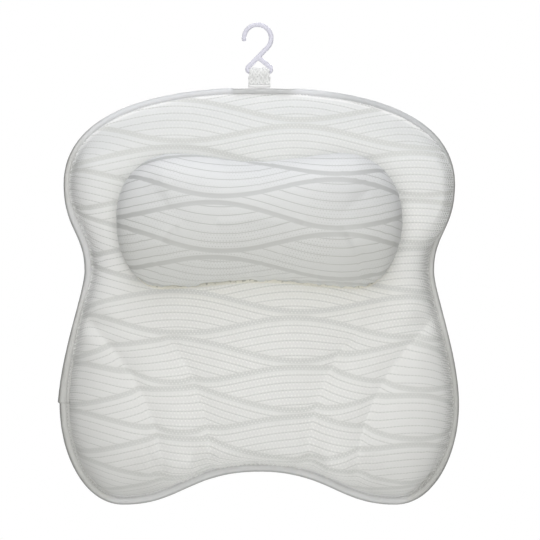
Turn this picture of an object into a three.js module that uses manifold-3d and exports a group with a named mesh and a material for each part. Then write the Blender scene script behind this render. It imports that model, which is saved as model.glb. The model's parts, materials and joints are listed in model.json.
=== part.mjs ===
// A bath pillow: a butterfly-shaped padded back rest with a stuffed neck bolster sewn to its front,
// a bound edge, a hanging loop with a plastic hook, and suction cups in grommets on its back.
// Millimetres, +Z up. The front faces -Y. The wall that the suction cups hold to is the plane y = 0, and
// the origin lies in it, behind the middle of the waist.
import * as THREE from "three";
import { mergeVertices } from "three/addons/utils/BufferGeometryUtils.js";
import Module from "manifold-3d";

const wasm = await Module();
wasm.setup();

// Gap that touching pieces keep
const GAP = 0.3;

// Pad outline seen from the front, right half; the waist is at z = 0
const TOP_Z = 184;
const UPPER_LOBE_X = 196;
const UPPER_LOBE_Z = 87;
const WAIST_X = 175;
const LOWER_LOBE_X = 200;
const LOWER_LOBE_Z = -134;
const FOOT_X = 136;
const FOOT_Z = -234;
const ARCH_Z = -201;
// How far each curve of the outline runs straight on past the point it starts from
const TOP_REACH = 135;
const UPPER_LOBE_REACH_UP = 58;
const UPPER_LOBE_REACH_DOWN = 45;
const WAIST_REACH_UP = 38;
const WAIST_REACH_DOWN = 21;
const LOWER_LOBE_REACH_UP = 51;
const LOWER_LOBE_REACH_DOWN = 47;
const FOOT_REACH_OUT = 41;
const FOOT_REACH_IN = 57;
const ARCH_REACH = 69;
const PAD_SPOKES = 64;
// Middle line that the rings of the pad close in on
const PAD_SPINE_X = 60;
const PAD_SPINE_Z = -20;

// Pad section
const CROWN = 42;
const ROLL_WIDTH = 42;
const BACK_THICKNESS = 3;
const PANEL_THICKNESS = 4;
const FLANGE_THICKNESS = 1.5;
const ROLL_ANGLES = [0, 16, 34, 54, 74, 90];
const INNER_ROLL_ANGLES = [0, 45, 90];
const PLATEAU_SHARES = [0.2, 0.42, 0.64, 0.85];

// Edge binding: a tape folded over the edges of the front and back panels
const BINDING_WIDTH = 9;
const TAPE_THICKNESS = 1;
const BINDING_NOSE = 2.6;

// Sewn channels of the lower half, right side, as cubic curves from top to bottom
const OUTER_CHANNEL = [[173, -49], [140, -80], [95, -135], [95, -212]];
const INNER_CHANNEL = [[96, -59], [75, -85], [48, -130], [48, -203]];
const CHANNEL_DEPTH = 9;
const CHANNEL_HALF_WIDTH = 15;
const CHANNEL_STEPS = 12;
const FILL_GAP = 1;

// Neck bolster outline, right half, and its section
const BOLSTER_TOP_Z = 110;
const BOLSTER_SHOULDER_X = 85;
const BOLSTER_SHOULDER_Z = 118;
const BOLSTER_SIDE_X = 141;
const BOLSTER_SIDE_Z = 52;
const BOLSTER_HIP_X = 98;
const BOLSTER_HIP_Z = -16;
const BOLSTER_BOTTOM_Z = -10;
const BOLSTER_TOP_REACH = 32;
const BOLSTER_SHOULDER_REACH_IN = 35;
const BOLSTER_SHOULDER_REACH_OUT = 33;
const BOLSTER_SIDE_REACH = 38;
const BOLSTER_HIP_REACH_OUT = 25;
const BOLSTER_HIP_REACH_IN = 40;
const BOLSTER_BOTTOM_REACH = 40;
const BOLSTER_SPOKES = 44;
const BOLSTER_SPINE_X = 82;
const BOLSTER_HEIGHT = 54;
const BOLSTER_BULGE_HEIGHT = 17;
const BOLSTER_SEAM_INSET = 9;
const BOLSTER_FLANK_INSET = 2.3;
const BOLSTER_FLANK_HEIGHT = 5.7;
const BOLSTER_ROLL_WIDTH = 44;
const BOLSTER_COVER_THICKNESS = 2.5;
const BOLSTER_ROLL_ANGLES = [0, 18, 38, 60, 82];
const BOLSTER_INNER_ANGLES = [0, 40, 82];

// Suction cups and the grommets that hold them, right side of the back
const UPPER_CUP_FROM_TOP = 86;
const UPPER_CUP_FROM_SIDE = 91;
const MIDDLE_CUP_BELOW_WAIST = 18;
const MIDDLE_CUP_FROM_SIDE = 57;
const LOWER_CUP_FROM_FOOT = 82;
const LOWER_CUP_FROM_SIDE = 72;
const CUP_RADIUS = 30;
const CUP_HEIGHT = 12;
const CUP_WALL = 3;
const CUP_RIM_WIDTH = 2.6;
const CUP_RIM_THICKNESS = 0.9;
const CUP_SHOULDER_RADIUS = 9;
const CUP_NECK_RADIUS = 4.6;
const CUP_HEAD_RADIUS = 7.5;
const CUP_HEAD_HEIGHT = 3.6;
const CUP_HEAD_FACE_RADIUS = 4.5;
const CUP_HEAD_FACE_HEIGHT = 3;
const CUP_HEAD_EDGE_HEIGHT = 1.3;
const CUP_SEGMENTS = 20;
// Shares of the way out along a cup's skirt and back in along its hollow, and how fast each flares
const SKIRT_SHARES = [0, 0.35, 0.7, 1];
const SKIRT_FLARE = 1.6;
const HOLLOW_SHARES = [1, 0.75, 0.45];
const HOLLOW_FLARE = 2;
const NECK_CLEARANCE = 0.6;
const GROMMET_WALL = 1.8;
const GROMMET_FLANGE_RADIUS = 11;
const GROMMET_FLANGE_THICKNESS = 1.5;
const GROMMET_LIP = 1;
const WASHER_THICKNESS = 1.2;
const GROMMET_SEGMENTS = 16;
const POCKET_CLEARANCE = 1;

// Hanging loop: a strap folded round the hook's bar and sewn to the top edge
const LOOP_WIDTH = 21.2;
const LOOP_THICKNESS = 4;
const LOOP_LENGTH = 10.4;
const LOOP_WALL = 1.7;
const LOOP_EYE_CLEARANCE = 0.4;
const LOOP_SIDE_CLEARANCE = 0.8;
const LOOP_SEGMENTS = 16;
const ANCHOR_HEIGHT = 2.3;
const ANCHOR_OVERHANG = 0.3;

// Hook: one moulded rod, an open eye above a closed triangle
const ROD_RADIUS = 2.3;
const ROD_SIDES = 8;
const HOOK_EYE_RADIUS = 13.3;
const HOOK_EYE_X = -1.4;
const HOOK_EYE_HEIGHT = 33.4;
const HOOK_TIP_ANGLE = 184;
const HOOK_STEM_ANGLE = 45.4;
const HOOK_BAR_RIGHT = 17.3;
const HOOK_APEX_HEIGHT = 14.8;
const HOOK_CORNER_RADIUS = 3;
const HOOK_STEM_STEPS = 40;
const HOOK_LEG_STEPS = 14;

const radians = THREE.MathUtils.degToRad;

// Materials
const material = (color, roughness) => new THREE.MeshStandardMaterial({ color, roughness, metalness: 0 });
const MESH_FABRIC = material(0xe6e6e1, 0.85);
const BACK_FABRIC = material(0xe2e2de, 0.9);
const BOLSTER_FABRIC = material(0xe8e9ea, 0.75);
const TAPE_FABRIC = material(0xe4e5e6, 0.5);
const FIBRE = material(0xf2f2ee, 0.95);
const HOOK_PLASTIC = material(0xe6e4f0, 0.35);
const GROMMET_PLASTIC = material(0xf0f0f0, 0.4);
const CLEAR_VINYL = new THREE.MeshStandardMaterial({
  color: 0xe4eef2,
  roughness: 0.12,
  metalness: 0,
  transparent: true,
  opacity: 0.5,
});

// The pieces are drawn about the pad's flat back face, which the cups hold off the wall
const part = new THREE.Group();
const pillow = new THREE.Group();
part.add(pillow);

function place(name, geometry, finish) {
  const mesh = new THREE.Mesh(geometry, finish);
  mesh.name = name;
  pillow.add(mesh);
  return mesh;
}

// Solids for cutting and joining

function solidOf(geometry) {
  const bare = geometry.index ? geometry.toNonIndexed() : geometry.clone();
  bare.deleteAttribute("normal");
  bare.deleteAttribute("uv");
  const merged = mergeVertices(bare);
  return new wasm.Manifold(
    new wasm.Mesh({
      numProp: 3,
      vertProperties: merged.attributes.position.array,
      triVerts: merged.index.array,
    }),
  );
}

function geometryOf(solid) {
  const mesh = solid.getMesh();
  return new THREE.BufferGeometry()
    .setAttribute("position", new THREE.BufferAttribute(mesh.vertProperties, 3))
    .setIndex(new THREE.BufferAttribute(mesh.triVerts, 1));
}

// Rings and lofts

// A half outline made of cubic curves, mirrored to a closed loop of evenly spaced points
function mirroredLoop(halfPath, spokes) {
  const half = halfPath.getSpacedPoints(spokes / 2);
  const mirrored = half.slice(1, -1).reverse().map((p) => new THREE.Vector2(-p.x, p.y));
  return [...half, ...mirrored];
}

// Spokes of a loop: where each starts, which way it runs to the spine, how long it is, and how
// much longer than the inset a step along it is, because it doesn't leave the edge squarely
function spokesOf(loop, spineHalf, spineZ) {
  return loop.map((start, i) => {
    const before = loop[(i + loop.length - 1) % loop.length];
    const after = loop[(i + 1) % loop.length];
    const along = after.clone().sub(before).normalize();
    const end = new THREE.Vector2(THREE.MathUtils.clamp(start.x, -spineHalf, spineHalf), spineZ);
    const way = end.sub(start);
    const length = way.length();
    way.normalize();
    const squareness = Math.abs(along.x * way.y - along.y * way.x);
    return { start, way, length, stretch: 1 / squareness };
  });
}

// One ring at an inset from the edge, or at a share of what is left beyond that inset
function ringAt(spokes, inset, heightOf, share = 0) {
  return spokes.map(({ start, way, length, stretch }) => {
    const edge = inset * stretch;
    const p = start.clone().addScaledVector(way, edge + (length - edge) * share);
    return new THREE.Vector3(p.x, heightOf(p), p.y);
  });
}

// A closed solid through a row of rings: capped at both ends, or closed on itself like a tyre
function loft(rings, closed = false) {
  const count = rings[0].length;
  const positions = rings.flat().flatMap((p) => [p.x, p.y, p.z]);
  const index = [];
  const lastRow = closed ? rings.length : rings.length - 1;
  for (let row = 0; row < lastRow; row++) {
    const next = (row + 1) % rings.length;
    for (let i = 0; i < count; i++) {
      const j = (i + 1) % count;
      const [a, b, c, d] = [row * count + i, row * count + j, next * count + j, next * count + i];
      index.push(a, c, b, a, d, c);
    }
  }
  if (!closed) {
    for (const [row, turn] of [[0, 1], [rings.length - 1, -1]]) {
      const middle = new THREE.Vector3();
      rings[row].forEach((p) => middle.addScaledVector(p, 1 / count));
      const tip = positions.length / 3;
      positions.push(middle.x, middle.y, middle.z);
      for (let i = 0; i < count; i++) {
        const pair = [row * count + i, row * count + ((i + 1) % count)];
        if (turn < 0) pair.reverse();
        index.push(...pair, tip);
      }
    }
  }
  const geometry = new THREE.BufferGeometry();
  geometry.setAttribute("position", new THREE.Float32BufferAttribute(positions, 3));
  geometry.setIndex(index);
  return geometry;
}

// A prism through the pad along Y, from points in the front view, between two depths
function prism(points, front, back, holes = []) {
  const shape = new THREE.Shape(points);
  shape.holes = holes;
  const options = { depth: back - front, bevelEnabled: false, curveSegments: GROMMET_SEGMENTS / 2 };
  return new THREE.ExtrudeGeometry(shape, options).rotateX(Math.PI / 2).translate(0, back, 0);
}

// Pad outline and the form of its front

function padHalfPath() {
  const path = new THREE.Path();
  path.moveTo(0, TOP_Z);
  path.bezierCurveTo(
    TOP_REACH, TOP_Z, UPPER_LOBE_X, UPPER_LOBE_Z + UPPER_LOBE_REACH_UP, UPPER_LOBE_X, UPPER_LOBE_Z);
  path.bezierCurveTo(
    UPPER_LOBE_X, UPPER_LOBE_Z - UPPER_LOBE_REACH_DOWN, WAIST_X, WAIST_REACH_UP, WAIST_X, 0);
  path.bezierCurveTo(
    WAIST_X, -WAIST_REACH_DOWN, LOWER_LOBE_X, LOWER_LOBE_Z + LOWER_LOBE_REACH_UP, LOWER_LOBE_X, LOWER_LOBE_Z);
  path.bezierCurveTo(
    LOWER_LOBE_X, LOWER_LOBE_Z - LOWER_LOBE_REACH_DOWN, FOOT_X + FOOT_REACH_OUT, FOOT_Z, FOOT_X, FOOT_Z);
  path.bezierCurveTo(FOOT_X - FOOT_REACH_IN, FOOT_Z, ARCH_REACH, ARCH_Z, 0, ARCH_Z);
  return path;
}

const padSpokes = spokesOf(mirroredLoop(padHalfPath(), PAD_SPOKES), PAD_SPINE_X, PAD_SPINE_Z);

// Depths of the seam: the panels' cut edges lie inside the binding's fold
const EDGE_INSET = TAPE_THICKNESS + GAP;
const FLANGE_BACK = -(BACK_THICKNESS + GAP);
const FLANGE_FRONT = FLANGE_BACK - FLANGE_THICKNESS;
const ROLL_START = BINDING_WIDTH + 2 * GAP;

function channelPoints(curve, side) {
  const [a, b, c, d] = curve.map(([x, z]) => new THREE.Vector2(side * x, z));
  return new THREE.CubicBezierCurve(a, b, c, d).getPoints(CHANNEL_STEPS);
}

const channels = [OUTER_CHANNEL, INNER_CHANNEL].flatMap((curve) =>
  [-1, 1].map((side) => channelPoints(curve, side)));

function distanceToLine(p, line) {
  let least = Infinity;
  for (let i = 0; i + 1 < line.length; i++) {
    const run = line[i + 1].clone().sub(line[i]);
    const share = THREE.MathUtils.clamp(p.clone().sub(line[i]).dot(run) / run.lengthSq(), 0, 1);
    least = Math.min(least, p.distanceTo(line[i].clone().addScaledVector(run, share)));
  }
  return least;
}

// How deep the sewn channels pull the front in at a point
function channelDepth(p) {
  const nearest = Math.min(...channels.map((line) => distanceToLine(p, line)));
  return CHANNEL_DEPTH * Math.exp(-((nearest / CHANNEL_HALF_WIDTH) ** 2));
}

// Rings from the roll's foot to the middle of a domed layer that lies so far inside the front
function domeRings(depth, foot, angles) {
  const rise = CROWN - depth + foot;
  const rollWidth = ROLL_WIDTH - depth;
  const start = ROLL_START + depth;
  const rings = angles.map((angle) => {
    const lift = Math.sin(radians(angle));
    const inset = start + rollWidth * (1 - Math.cos(radians(angle)));
    return ringAt(padSpokes, inset, (p) => foot - lift * (rise - channelDepth(p)));
  });
  const plateau = PLATEAU_SHARES.map((share) =>
    ringAt(padSpokes, start + rollWidth, (p) => foot - rise + channelDepth(p), share));
  return [...rings, ...plateau];
}

// Soft shells of the pad

// A shell between two lofts, open where the inner one runs on out past the outer one's first ring
function shell(outside, inside) {
  const opening = inside[0].map((p) => p.clone().setY(p.y + GAP));
  return geometryOf(solidOf(loft(outside)).subtract(solidOf(loft([opening, ...inside]))));
}

function frontPanel() {
  const flange = [FLANGE_BACK, FLANGE_FRONT].map((y) => ringAt(padSpokes, EDGE_INSET, () => y));
  const outside = [...flange, ...domeRings(0, FLANGE_FRONT, ROLL_ANGLES)];
  return shell(outside, domeRings(PANEL_THICKNESS, FLANGE_BACK, INNER_ROLL_ANGLES));
}

const cups = [
  { row: "upper", x: UPPER_LOBE_X - UPPER_CUP_FROM_SIDE, z: TOP_Z - UPPER_CUP_FROM_TOP },
  { row: "middle", x: WAIST_X - MIDDLE_CUP_FROM_SIDE, z: -MIDDLE_CUP_BELOW_WAIST },
  { row: "lower", x: LOWER_LOBE_X - LOWER_CUP_FROM_SIDE, z: FOOT_Z + LOWER_CUP_FROM_FOOT },
].flatMap(({ row, x, z }) => [
  { name: `${row}_left`, x: -x, z },
  { name: `${row}_right`, x, z },
]);

const BORE_RADIUS = CUP_NECK_RADIUS + NECK_CLEARANCE;
const BARREL_RADIUS = BORE_RADIUS + GROMMET_WALL;

function backPanel() {
  const outline = ringAt(padSpokes, EDGE_INSET, () => 0).map((p) => new THREE.Vector2(p.x, p.z));
  const holes = cups.map(({ x, z }) => new THREE.Path().absarc(x, z, BARREL_RADIUS + GAP, 0, 2 * Math.PI));
  return prism(outline, -BACK_THICKNESS, 0, holes);
}

// Section of the folded tape as insets from the edge and depths, round at its nose
function edgeBinding() {
  const back = GAP + TAPE_THICKNESS;
  const front = FLANGE_FRONT - GAP - TAPE_THICKNESS;
  const nose = BINDING_NOSE * (1 - Math.SQRT1_2);
  const section = [
    [BINDING_WIDTH, front],
    [BINDING_NOSE, front],
    [nose, front + nose],
    [0, front + BINDING_NOSE],
    [0, back - BINDING_NOSE],
    [nose, back - nose],
    [BINDING_NOSE, back],
    [BINDING_WIDTH, back],
    [BINDING_WIDTH, back - TAPE_THICKNESS],
    [TAPE_THICKNESS, back - TAPE_THICKNESS],
    [TAPE_THICKNESS, front + TAPE_THICKNESS],
    [BINDING_WIDTH, front + TAPE_THICKNESS],
  ];
  const rings = section.map(([inset, y]) => ringAt(padSpokes, inset, () => y));
  return loft(rings.reverse(), true);
}

place("front_panel", frontPanel(), MESH_FABRIC);
place("back_panel", backPanel(), BACK_FABRIC);
place("edge_binding", edgeBinding(), TAPE_FABRIC);

// Fibre pads: one filling cut by the sewn channels, with room for the cups' heads

const WASHER_FRONT = -(BACK_THICKNESS + GAP + WASHER_THICKNESS);
const LIP_BACK = WASHER_FRONT - GAP;
const HEAD_BACK = LIP_BACK - GROMMET_LIP - GAP;
const HEAD_FRONT = HEAD_BACK - CUP_HEAD_HEIGHT;

// A line moved sideways, to its left as it runs
function shifted(line, distance) {
  return line.map((p, i) => {
    const run = line[Math.min(i + 1, line.length - 1)].clone().sub(line[Math.max(i - 1, 0)]).normalize();
    return new THREE.Vector2(p.x - run.y * distance, p.y + run.x * distance);
  });
}

function fibrePads() {
  const depth = PANEL_THICKNESS + GAP;
  const foot = FLANGE_BACK - GAP;
  const rings = domeRings(depth, foot, INNER_ROLL_ANGLES);
  const filling = solidOf(loft(rings));
  const half = FILL_GAP / 2;
  // the cutting shapes reach well past the pad
  const [wide, low, high] = [2 * LOWER_LOBE_X, 2 * FOOT_Z, 2 * TOP_Z];
  const outer = channelPoints(OUTER_CHANNEL, 1);
  const inner = channelPoints(INNER_CHANNEL, 1);
  const corner = (x, z) => new THREE.Vector2(x, z);
  // the cut that parts the lower pads from the upper one, from the middle to the side
  const split = [corner(0, inner[0].y), inner[0], outer[0], corner(wide, 0)];
  const above = (line) => line.map((p) => corner(p.x, p.y + half));
  const bottomOf = (line) => corner(line[line.length - 1].x, low);
  const mirrored = (points) => points.map((p) => corner(-p.x, p.y));

  const outerEdges = [shifted(outer, half), shifted(outer, -half)];
  const innerEdges = [shifted(inner, half), shifted(inner, -half)];
  const wing = [
    corner(wide, split[3].y - half), ...outerEdges[0], bottomOf(outerEdges[0]), corner(wide, low)];
  const middle = [
    ...innerEdges[0], bottomOf(innerEdges[0]), bottomOf(outerEdges[1]), ...outerEdges[1].reverse()];
  const centreTop = corner(innerEdges[1][0].x, inner[0].y - half);
  const centreHalf = [centreTop, ...innerEdges[1].slice(1), bottomOf(innerEdges[1])];
  const centre = [...centreHalf, ...mirrored(centreHalf).reverse()];
  const upperHalf = [...above(split.slice(1)), corner(wide, high)];
  const upper = [...upperHalf, ...mirrored(upperHalf).reverse()];

  const pocketRadius = GROMMET_FLANGE_RADIUS + POCKET_CLEARANCE;
  const pocketDepth = POCKET_CLEARANCE - HEAD_FRONT;
  const pockets = cups.map(({ x, z }) =>
    solidOf(new THREE.CylinderGeometry(pocketRadius, pocketRadius, pocketDepth, GROMMET_SEGMENTS)
      .translate(x, -pocketDepth / 2, z)));
  const pads = {
    upper_fibre_pad: upper,
    centre_fibre_pad: centre,
    middle_fibre_pad_right: middle,
    middle_fibre_pad_left: mirrored(middle),
    wing_fibre_pad_right: wing,
    wing_fibre_pad_left: mirrored(wing),
  };
  for (const [name, outline] of Object.entries(pads)) {
    const cut = solidOf(prism(outline, -CROWN, 0));
    const pad = pockets.reduce((rest, pocket) => rest.subtract(pocket), filling.intersect(cut));
    place(name, geometryOf(pad), FIBRE);
  }
}

fibrePads();

// Neck bolster: a stuffed cover whose seam lies flat on the front panel

function bolsterHalfPath() {
  const path = new THREE.Path();
  path.moveTo(0, BOLSTER_TOP_Z);
  path.bezierCurveTo(
    BOLSTER_TOP_REACH, BOLSTER_TOP_Z, BOLSTER_SHOULDER_X - BOLSTER_SHOULDER_REACH_IN, BOLSTER_SHOULDER_Z,
    BOLSTER_SHOULDER_X, BOLSTER_SHOULDER_Z);
  path.bezierCurveTo(
    BOLSTER_SHOULDER_X + BOLSTER_SHOULDER_REACH_OUT, BOLSTER_SHOULDER_Z,
    BOLSTER_SIDE_X, BOLSTER_SIDE_Z + BOLSTER_SIDE_REACH, BOLSTER_SIDE_X, BOLSTER_SIDE_Z);
  path.bezierCurveTo(
    BOLSTER_SIDE_X, BOLSTER_SIDE_Z - BOLSTER_SIDE_REACH, BOLSTER_HIP_X + BOLSTER_HIP_REACH_OUT, BOLSTER_HIP_Z,
    BOLSTER_HIP_X, BOLSTER_HIP_Z);
  path.bezierCurveTo(
    BOLSTER_HIP_X - BOLSTER_HIP_REACH_IN, BOLSTER_HIP_Z, BOLSTER_BOTTOM_REACH, BOLSTER_BOTTOM_Z,
    0, BOLSTER_BOTTOM_Z);
  return path;
}

const bolsterSpokes = spokesOf(
  mirroredLoop(bolsterHalfPath(), BOLSTER_SPOKES), BOLSTER_SPINE_X, (BOLSTER_TOP_Z + BOLSTER_BOTTOM_Z) / 2);
const SEAT = -CROWN - GAP;

// Rings from the seam, out to the bulge, over the roll to the crown, so far inside the cover
function bolsterRings(depth, angles) {
  const height = BOLSTER_HEIGHT - depth;
  const rollWidth = BOLSTER_ROLL_WIDTH - depth;
  const seam = ringAt(bolsterSpokes, BOLSTER_SEAM_INSET + depth, () => SEAT);
  const flank = ringAt(bolsterSpokes, BOLSTER_FLANK_INSET + depth, () => SEAT - BOLSTER_FLANK_HEIGHT);
  const roll = angles.map((angle) => {
    const inset = depth + rollWidth * (1 - Math.cos(radians(angle)));
    const lift = BOLSTER_BULGE_HEIGHT + (height - BOLSTER_BULGE_HEIGHT) * Math.sin(radians(angle));
    return ringAt(bolsterSpokes, inset, () => SEAT - lift);
  });
  return [seam, flank, ...roll];
}

const coverOutside = bolsterRings(0, BOLSTER_ROLL_ANGLES);
const coverInside = bolsterRings(BOLSTER_COVER_THICKNESS, BOLSTER_INNER_ANGLES);
place("bolster_cover", shell(coverOutside, coverInside), BOLSTER_FABRIC);
place("bolster_filling", loft(bolsterRings(BOLSTER_COVER_THICKNESS + GAP, BOLSTER_INNER_ANGLES)), FIBRE);

// Suction cups, grommets and lock washers, turned about Y

const turned = (profile, segments) =>
  new THREE.LatheGeometry(profile.map(([r, y]) => new THREE.Vector2(r, y)), segments);

const FLANGE_OUTSIDE = GAP + GROMMET_FLANGE_THICKNESS;
const CUP_SHOULDER = FLANGE_OUTSIDE + GAP;
const CUP_RIM = CUP_SHOULDER + CUP_HEIGHT;

function suctionCup() {
  const hollowRadius = CUP_RADIUS - CUP_RIM_WIDTH;
  const hollowFloor = CUP_SHOULDER + CUP_WALL;
  const hollowDepth = CUP_RIM - hollowFloor;
  const flare = CUP_RADIUS - CUP_SHOULDER_RADIUS;
  const skirtHeight = CUP_HEIGHT - CUP_RIM_THICKNESS;
  const skirt = SKIRT_SHARES.map((t) =>
    [CUP_SHOULDER_RADIUS + flare * t, CUP_SHOULDER + skirtHeight * t ** SKIRT_FLARE]);
  const hollow = HOLLOW_SHARES.map((t) => [hollowRadius * t, hollowFloor + hollowDepth * t ** HOLLOW_FLARE]);
  return turned([
    [0, HEAD_FRONT],
    [CUP_HEAD_FACE_RADIUS, HEAD_BACK - CUP_HEAD_FACE_HEIGHT],
    [CUP_HEAD_RADIUS, HEAD_BACK - CUP_HEAD_EDGE_HEIGHT],
    [CUP_HEAD_RADIUS, HEAD_BACK],
    [CUP_NECK_RADIUS, HEAD_BACK],
    [CUP_NECK_RADIUS, CUP_SHOULDER],
    ...skirt,
    [CUP_RADIUS, CUP_RIM],
    ...hollow,
    [0, hollowFloor],
  ], CUP_SEGMENTS);
}

function grommet() {
  const lipFront = LIP_BACK - GROMMET_LIP;
  return turned([
    [BORE_RADIUS, lipFront],
    [BARREL_RADIUS + GROMMET_LIP, lipFront],
    [BARREL_RADIUS + GROMMET_LIP, LIP_BACK],
    [BARREL_RADIUS, LIP_BACK],
    [BARREL_RADIUS, GAP],
    [GROMMET_FLANGE_RADIUS, GAP],
    [GROMMET_FLANGE_RADIUS, FLANGE_OUTSIDE],
    [BORE_RADIUS, FLANGE_OUTSIDE],
    [BORE_RADIUS, lipFront],
  ], GROMMET_SEGMENTS);
}

function lockWasher() {
  const back = -(BACK_THICKNESS + GAP);
  return turned([
    [BARREL_RADIUS + GAP, WASHER_FRONT],
    [GROMMET_FLANGE_RADIUS, WASHER_FRONT],
    [GROMMET_FLANGE_RADIUS, back],
    [BARREL_RADIUS + GAP, back],
    [BARREL_RADIUS + GAP, WASHER_FRONT],
  ], GROMMET_SEGMENTS);
}

for (const { name, x, z } of cups) {
  place(`suction_cup_${name}`, suctionCup(), CLEAR_VINYL).position.set(x, 0, z);
  place(`grommet_${name}`, grommet(), GROMMET_PLASTIC).position.set(x, 0, z);
  place(`lock_washer_${name}`, lockWasher(), GROMMET_PLASTIC).position.set(x, 0, z);
}

// Hanging loop, its anchor on the top edge, and the hook, all in the middle plane of the seam

const SEAM_Y = FLANGE_FRONT / 2;
const ANCHOR_TOP = TOP_Z + GAP + ANCHOR_HEIGHT;
const LOOP_ROOT_Z = ANCHOR_TOP + GAP + LOOP_THICKNESS / 2;
const BAR_Z = LOOP_ROOT_Z + LOOP_LENGTH;

// A cylinder along X about a line at the given height in the seam's plane
const alongX = (geometry, z) => geometry.rotateZ(Math.PI / 2).translate(0, SEAM_Y, z);

function loopAnchor() {
  const halfX = LOOP_WIDTH / 2 + ANCHOR_OVERHANG;
  const halfY = LOOP_THICKNESS / 2 + ANCHOR_OVERHANG;
  const outline = new THREE.Shape();
  outline.moveTo(-halfX + halfY, -halfY);
  outline.lineTo(halfX - halfY, -halfY);
  outline.absarc(halfX - halfY, 0, halfY, -Math.PI / 2, Math.PI / 2);
  outline.lineTo(-halfX + halfY, halfY);
  outline.absarc(-halfX + halfY, 0, halfY, Math.PI / 2, 1.5 * Math.PI);
  const options = { depth: ANCHOR_HEIGHT, bevelEnabled: false, curveSegments: LOOP_SEGMENTS / 4 };
  return new THREE.ExtrudeGeometry(outline, options).translate(0, SEAM_Y, TOP_Z + GAP);
}

// The hook's lines in its own plane, whose first axis is X and second is Z, from the bar's axis up.
// The stem leaves the eye where the two are in line; the leg meets the stem at the apex.
const STEM = radians(HOOK_STEM_ANGLE);
const HOOK_EYE = new THREE.Vector2(HOOK_EYE_X, HOOK_EYE_HEIGHT);
const STEM_TOP = new THREE.Vector2(Math.sin(STEM), -Math.cos(STEM))
  .multiplyScalar(HOOK_EYE_RADIUS).add(HOOK_EYE);
const BAR_LEFT = STEM_TOP.x - STEM_TOP.y / Math.tan(STEM);
const APEX_X = BAR_LEFT + HOOK_APEX_HEIGHT / Math.tan(STEM);
const LEG = Math.atan2(HOOK_APEX_HEIGHT, HOOK_BAR_RIGHT - APEX_X);
const LEFT_CORNER = BAR_LEFT + HOOK_CORNER_RADIUS / Math.tan(STEM / 2);
const RIGHT_CORNER = HOOK_BAR_RIGHT - HOOK_CORNER_RADIUS / Math.tan(LEG / 2);

// Half the room between the hook's stem and leg at a height above the bar's axis
function roomInHook(height) {
  const left = BAR_LEFT + height / Math.tan(STEM) + ROD_RADIUS / Math.sin(STEM);
  const right = HOOK_BAR_RIGHT - height / Math.tan(LEG) - ROD_RADIUS / Math.sin(LEG);
  return Math.min(-left, right);
}

function hangLoop() {
  const inner = ROD_RADIUS + LOOP_EYE_CLEARANCE;
  const outer = inner + LOOP_WALL;
  const innerHalf = Math.min(-LEFT_CORNER, RIGHT_CORNER) - GAP;
  const outerHalf = roomInHook(outer) - LOOP_SIDE_CLEARANCE;
  const head = alongX(turned([
    [inner, -innerHalf],
    [outer, -outerHalf],
    [outer, outerHalf],
    [inner, innerHalf],
    [inner, -innerHalf],
  ], LOOP_SEGMENTS), BAR_Z);
  const half = LOOP_WIDTH / 2;
  const tailTop = BAR_Z - inner - GAP;
  const flareEnd = BAR_Z - outer - LOOP_WALL;
  const tail = new THREE.Shape([
    new THREE.Vector2(-innerHalf, tailTop),
    new THREE.Vector2(-half, flareEnd),
    new THREE.Vector2(-half, LOOP_ROOT_Z),
    new THREE.Vector2(half, LOOP_ROOT_Z),
    new THREE.Vector2(half, flareEnd),
    new THREE.Vector2(innerHalf, tailTop),
  ]);
  const web = new THREE.ExtrudeGeometry(tail, { depth: LOOP_THICKNESS, bevelEnabled: false })
    .rotateX(Math.PI / 2).translate(0, SEAM_Y + LOOP_THICKNESS / 2, 0);
  const root = alongX(
    new THREE.CylinderGeometry(LOOP_THICKNESS / 2, LOOP_THICKNESS / 2, LOOP_WIDTH, LOOP_SEGMENTS), LOOP_ROOT_Z);
  return geometryOf(solidOf(web).add(solidOf(root)).add(solidOf(head)));
}

// A round rod along a path in the hook's plane
function rod(path, steps) {
  const points = path.getSpacedPoints(steps).map((p) => new THREE.Vector3(p.x, SEAM_Y, p.y + BAR_Z));
  const circle = new THREE.Shape().absarc(0, 0, ROD_RADIUS, 0, 2 * Math.PI);
  const options = { steps, extrudePath: new THREE.CatmullRomCurve3(points), curveSegments: ROD_SIDES / 2 };
  return new THREE.ExtrudeGeometry(circle, options);
}

function hook() {
  const tipAngle = radians(HOOK_TIP_ANGLE);
  const stemPath = new THREE.Path();
  stemPath.absarc(HOOK_EYE.x, HOOK_EYE.y, HOOK_EYE_RADIUS, tipAngle, STEM - Math.PI / 2, true);
  stemPath.absarc(
    LEFT_CORNER, HOOK_CORNER_RADIUS, HOOK_CORNER_RADIUS, STEM + Math.PI / 2, 1.5 * Math.PI, false);
  stemPath.lineTo(RIGHT_CORNER, 0);
  const legPath = new THREE.Path();
  legPath.absarc(
    RIGHT_CORNER, HOOK_CORNER_RADIUS, HOOK_CORNER_RADIUS, -Math.PI / 2, Math.PI / 2 - LEG, false);
  legPath.lineTo(APEX_X, HOOK_APEX_HEIGHT);
  const tip = new THREE.SphereGeometry(ROD_RADIUS * Math.cos(Math.PI / ROD_SIDES), ROD_SIDES, ROD_SIDES);
  tip.translate(
    HOOK_EYE.x + HOOK_EYE_RADIUS * Math.cos(tipAngle), SEAM_Y,
    HOOK_EYE.y + HOOK_EYE_RADIUS * Math.sin(tipAngle) + BAR_Z);
  const rods = solidOf(rod(stemPath, HOOK_STEM_STEPS)).add(solidOf(rod(legPath, HOOK_LEG_STEPS)));
  return geometryOf(rods.add(solidOf(tip)));
}

place("loop_anchor", loopAnchor(), TAPE_FABRIC);
place("hang_loop", hangLoop(), MESH_FABRIC);
place("hook", hook(), HOOK_PLASTIC);

pillow.position.y = -CUP_RIM;

export default part;
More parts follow.
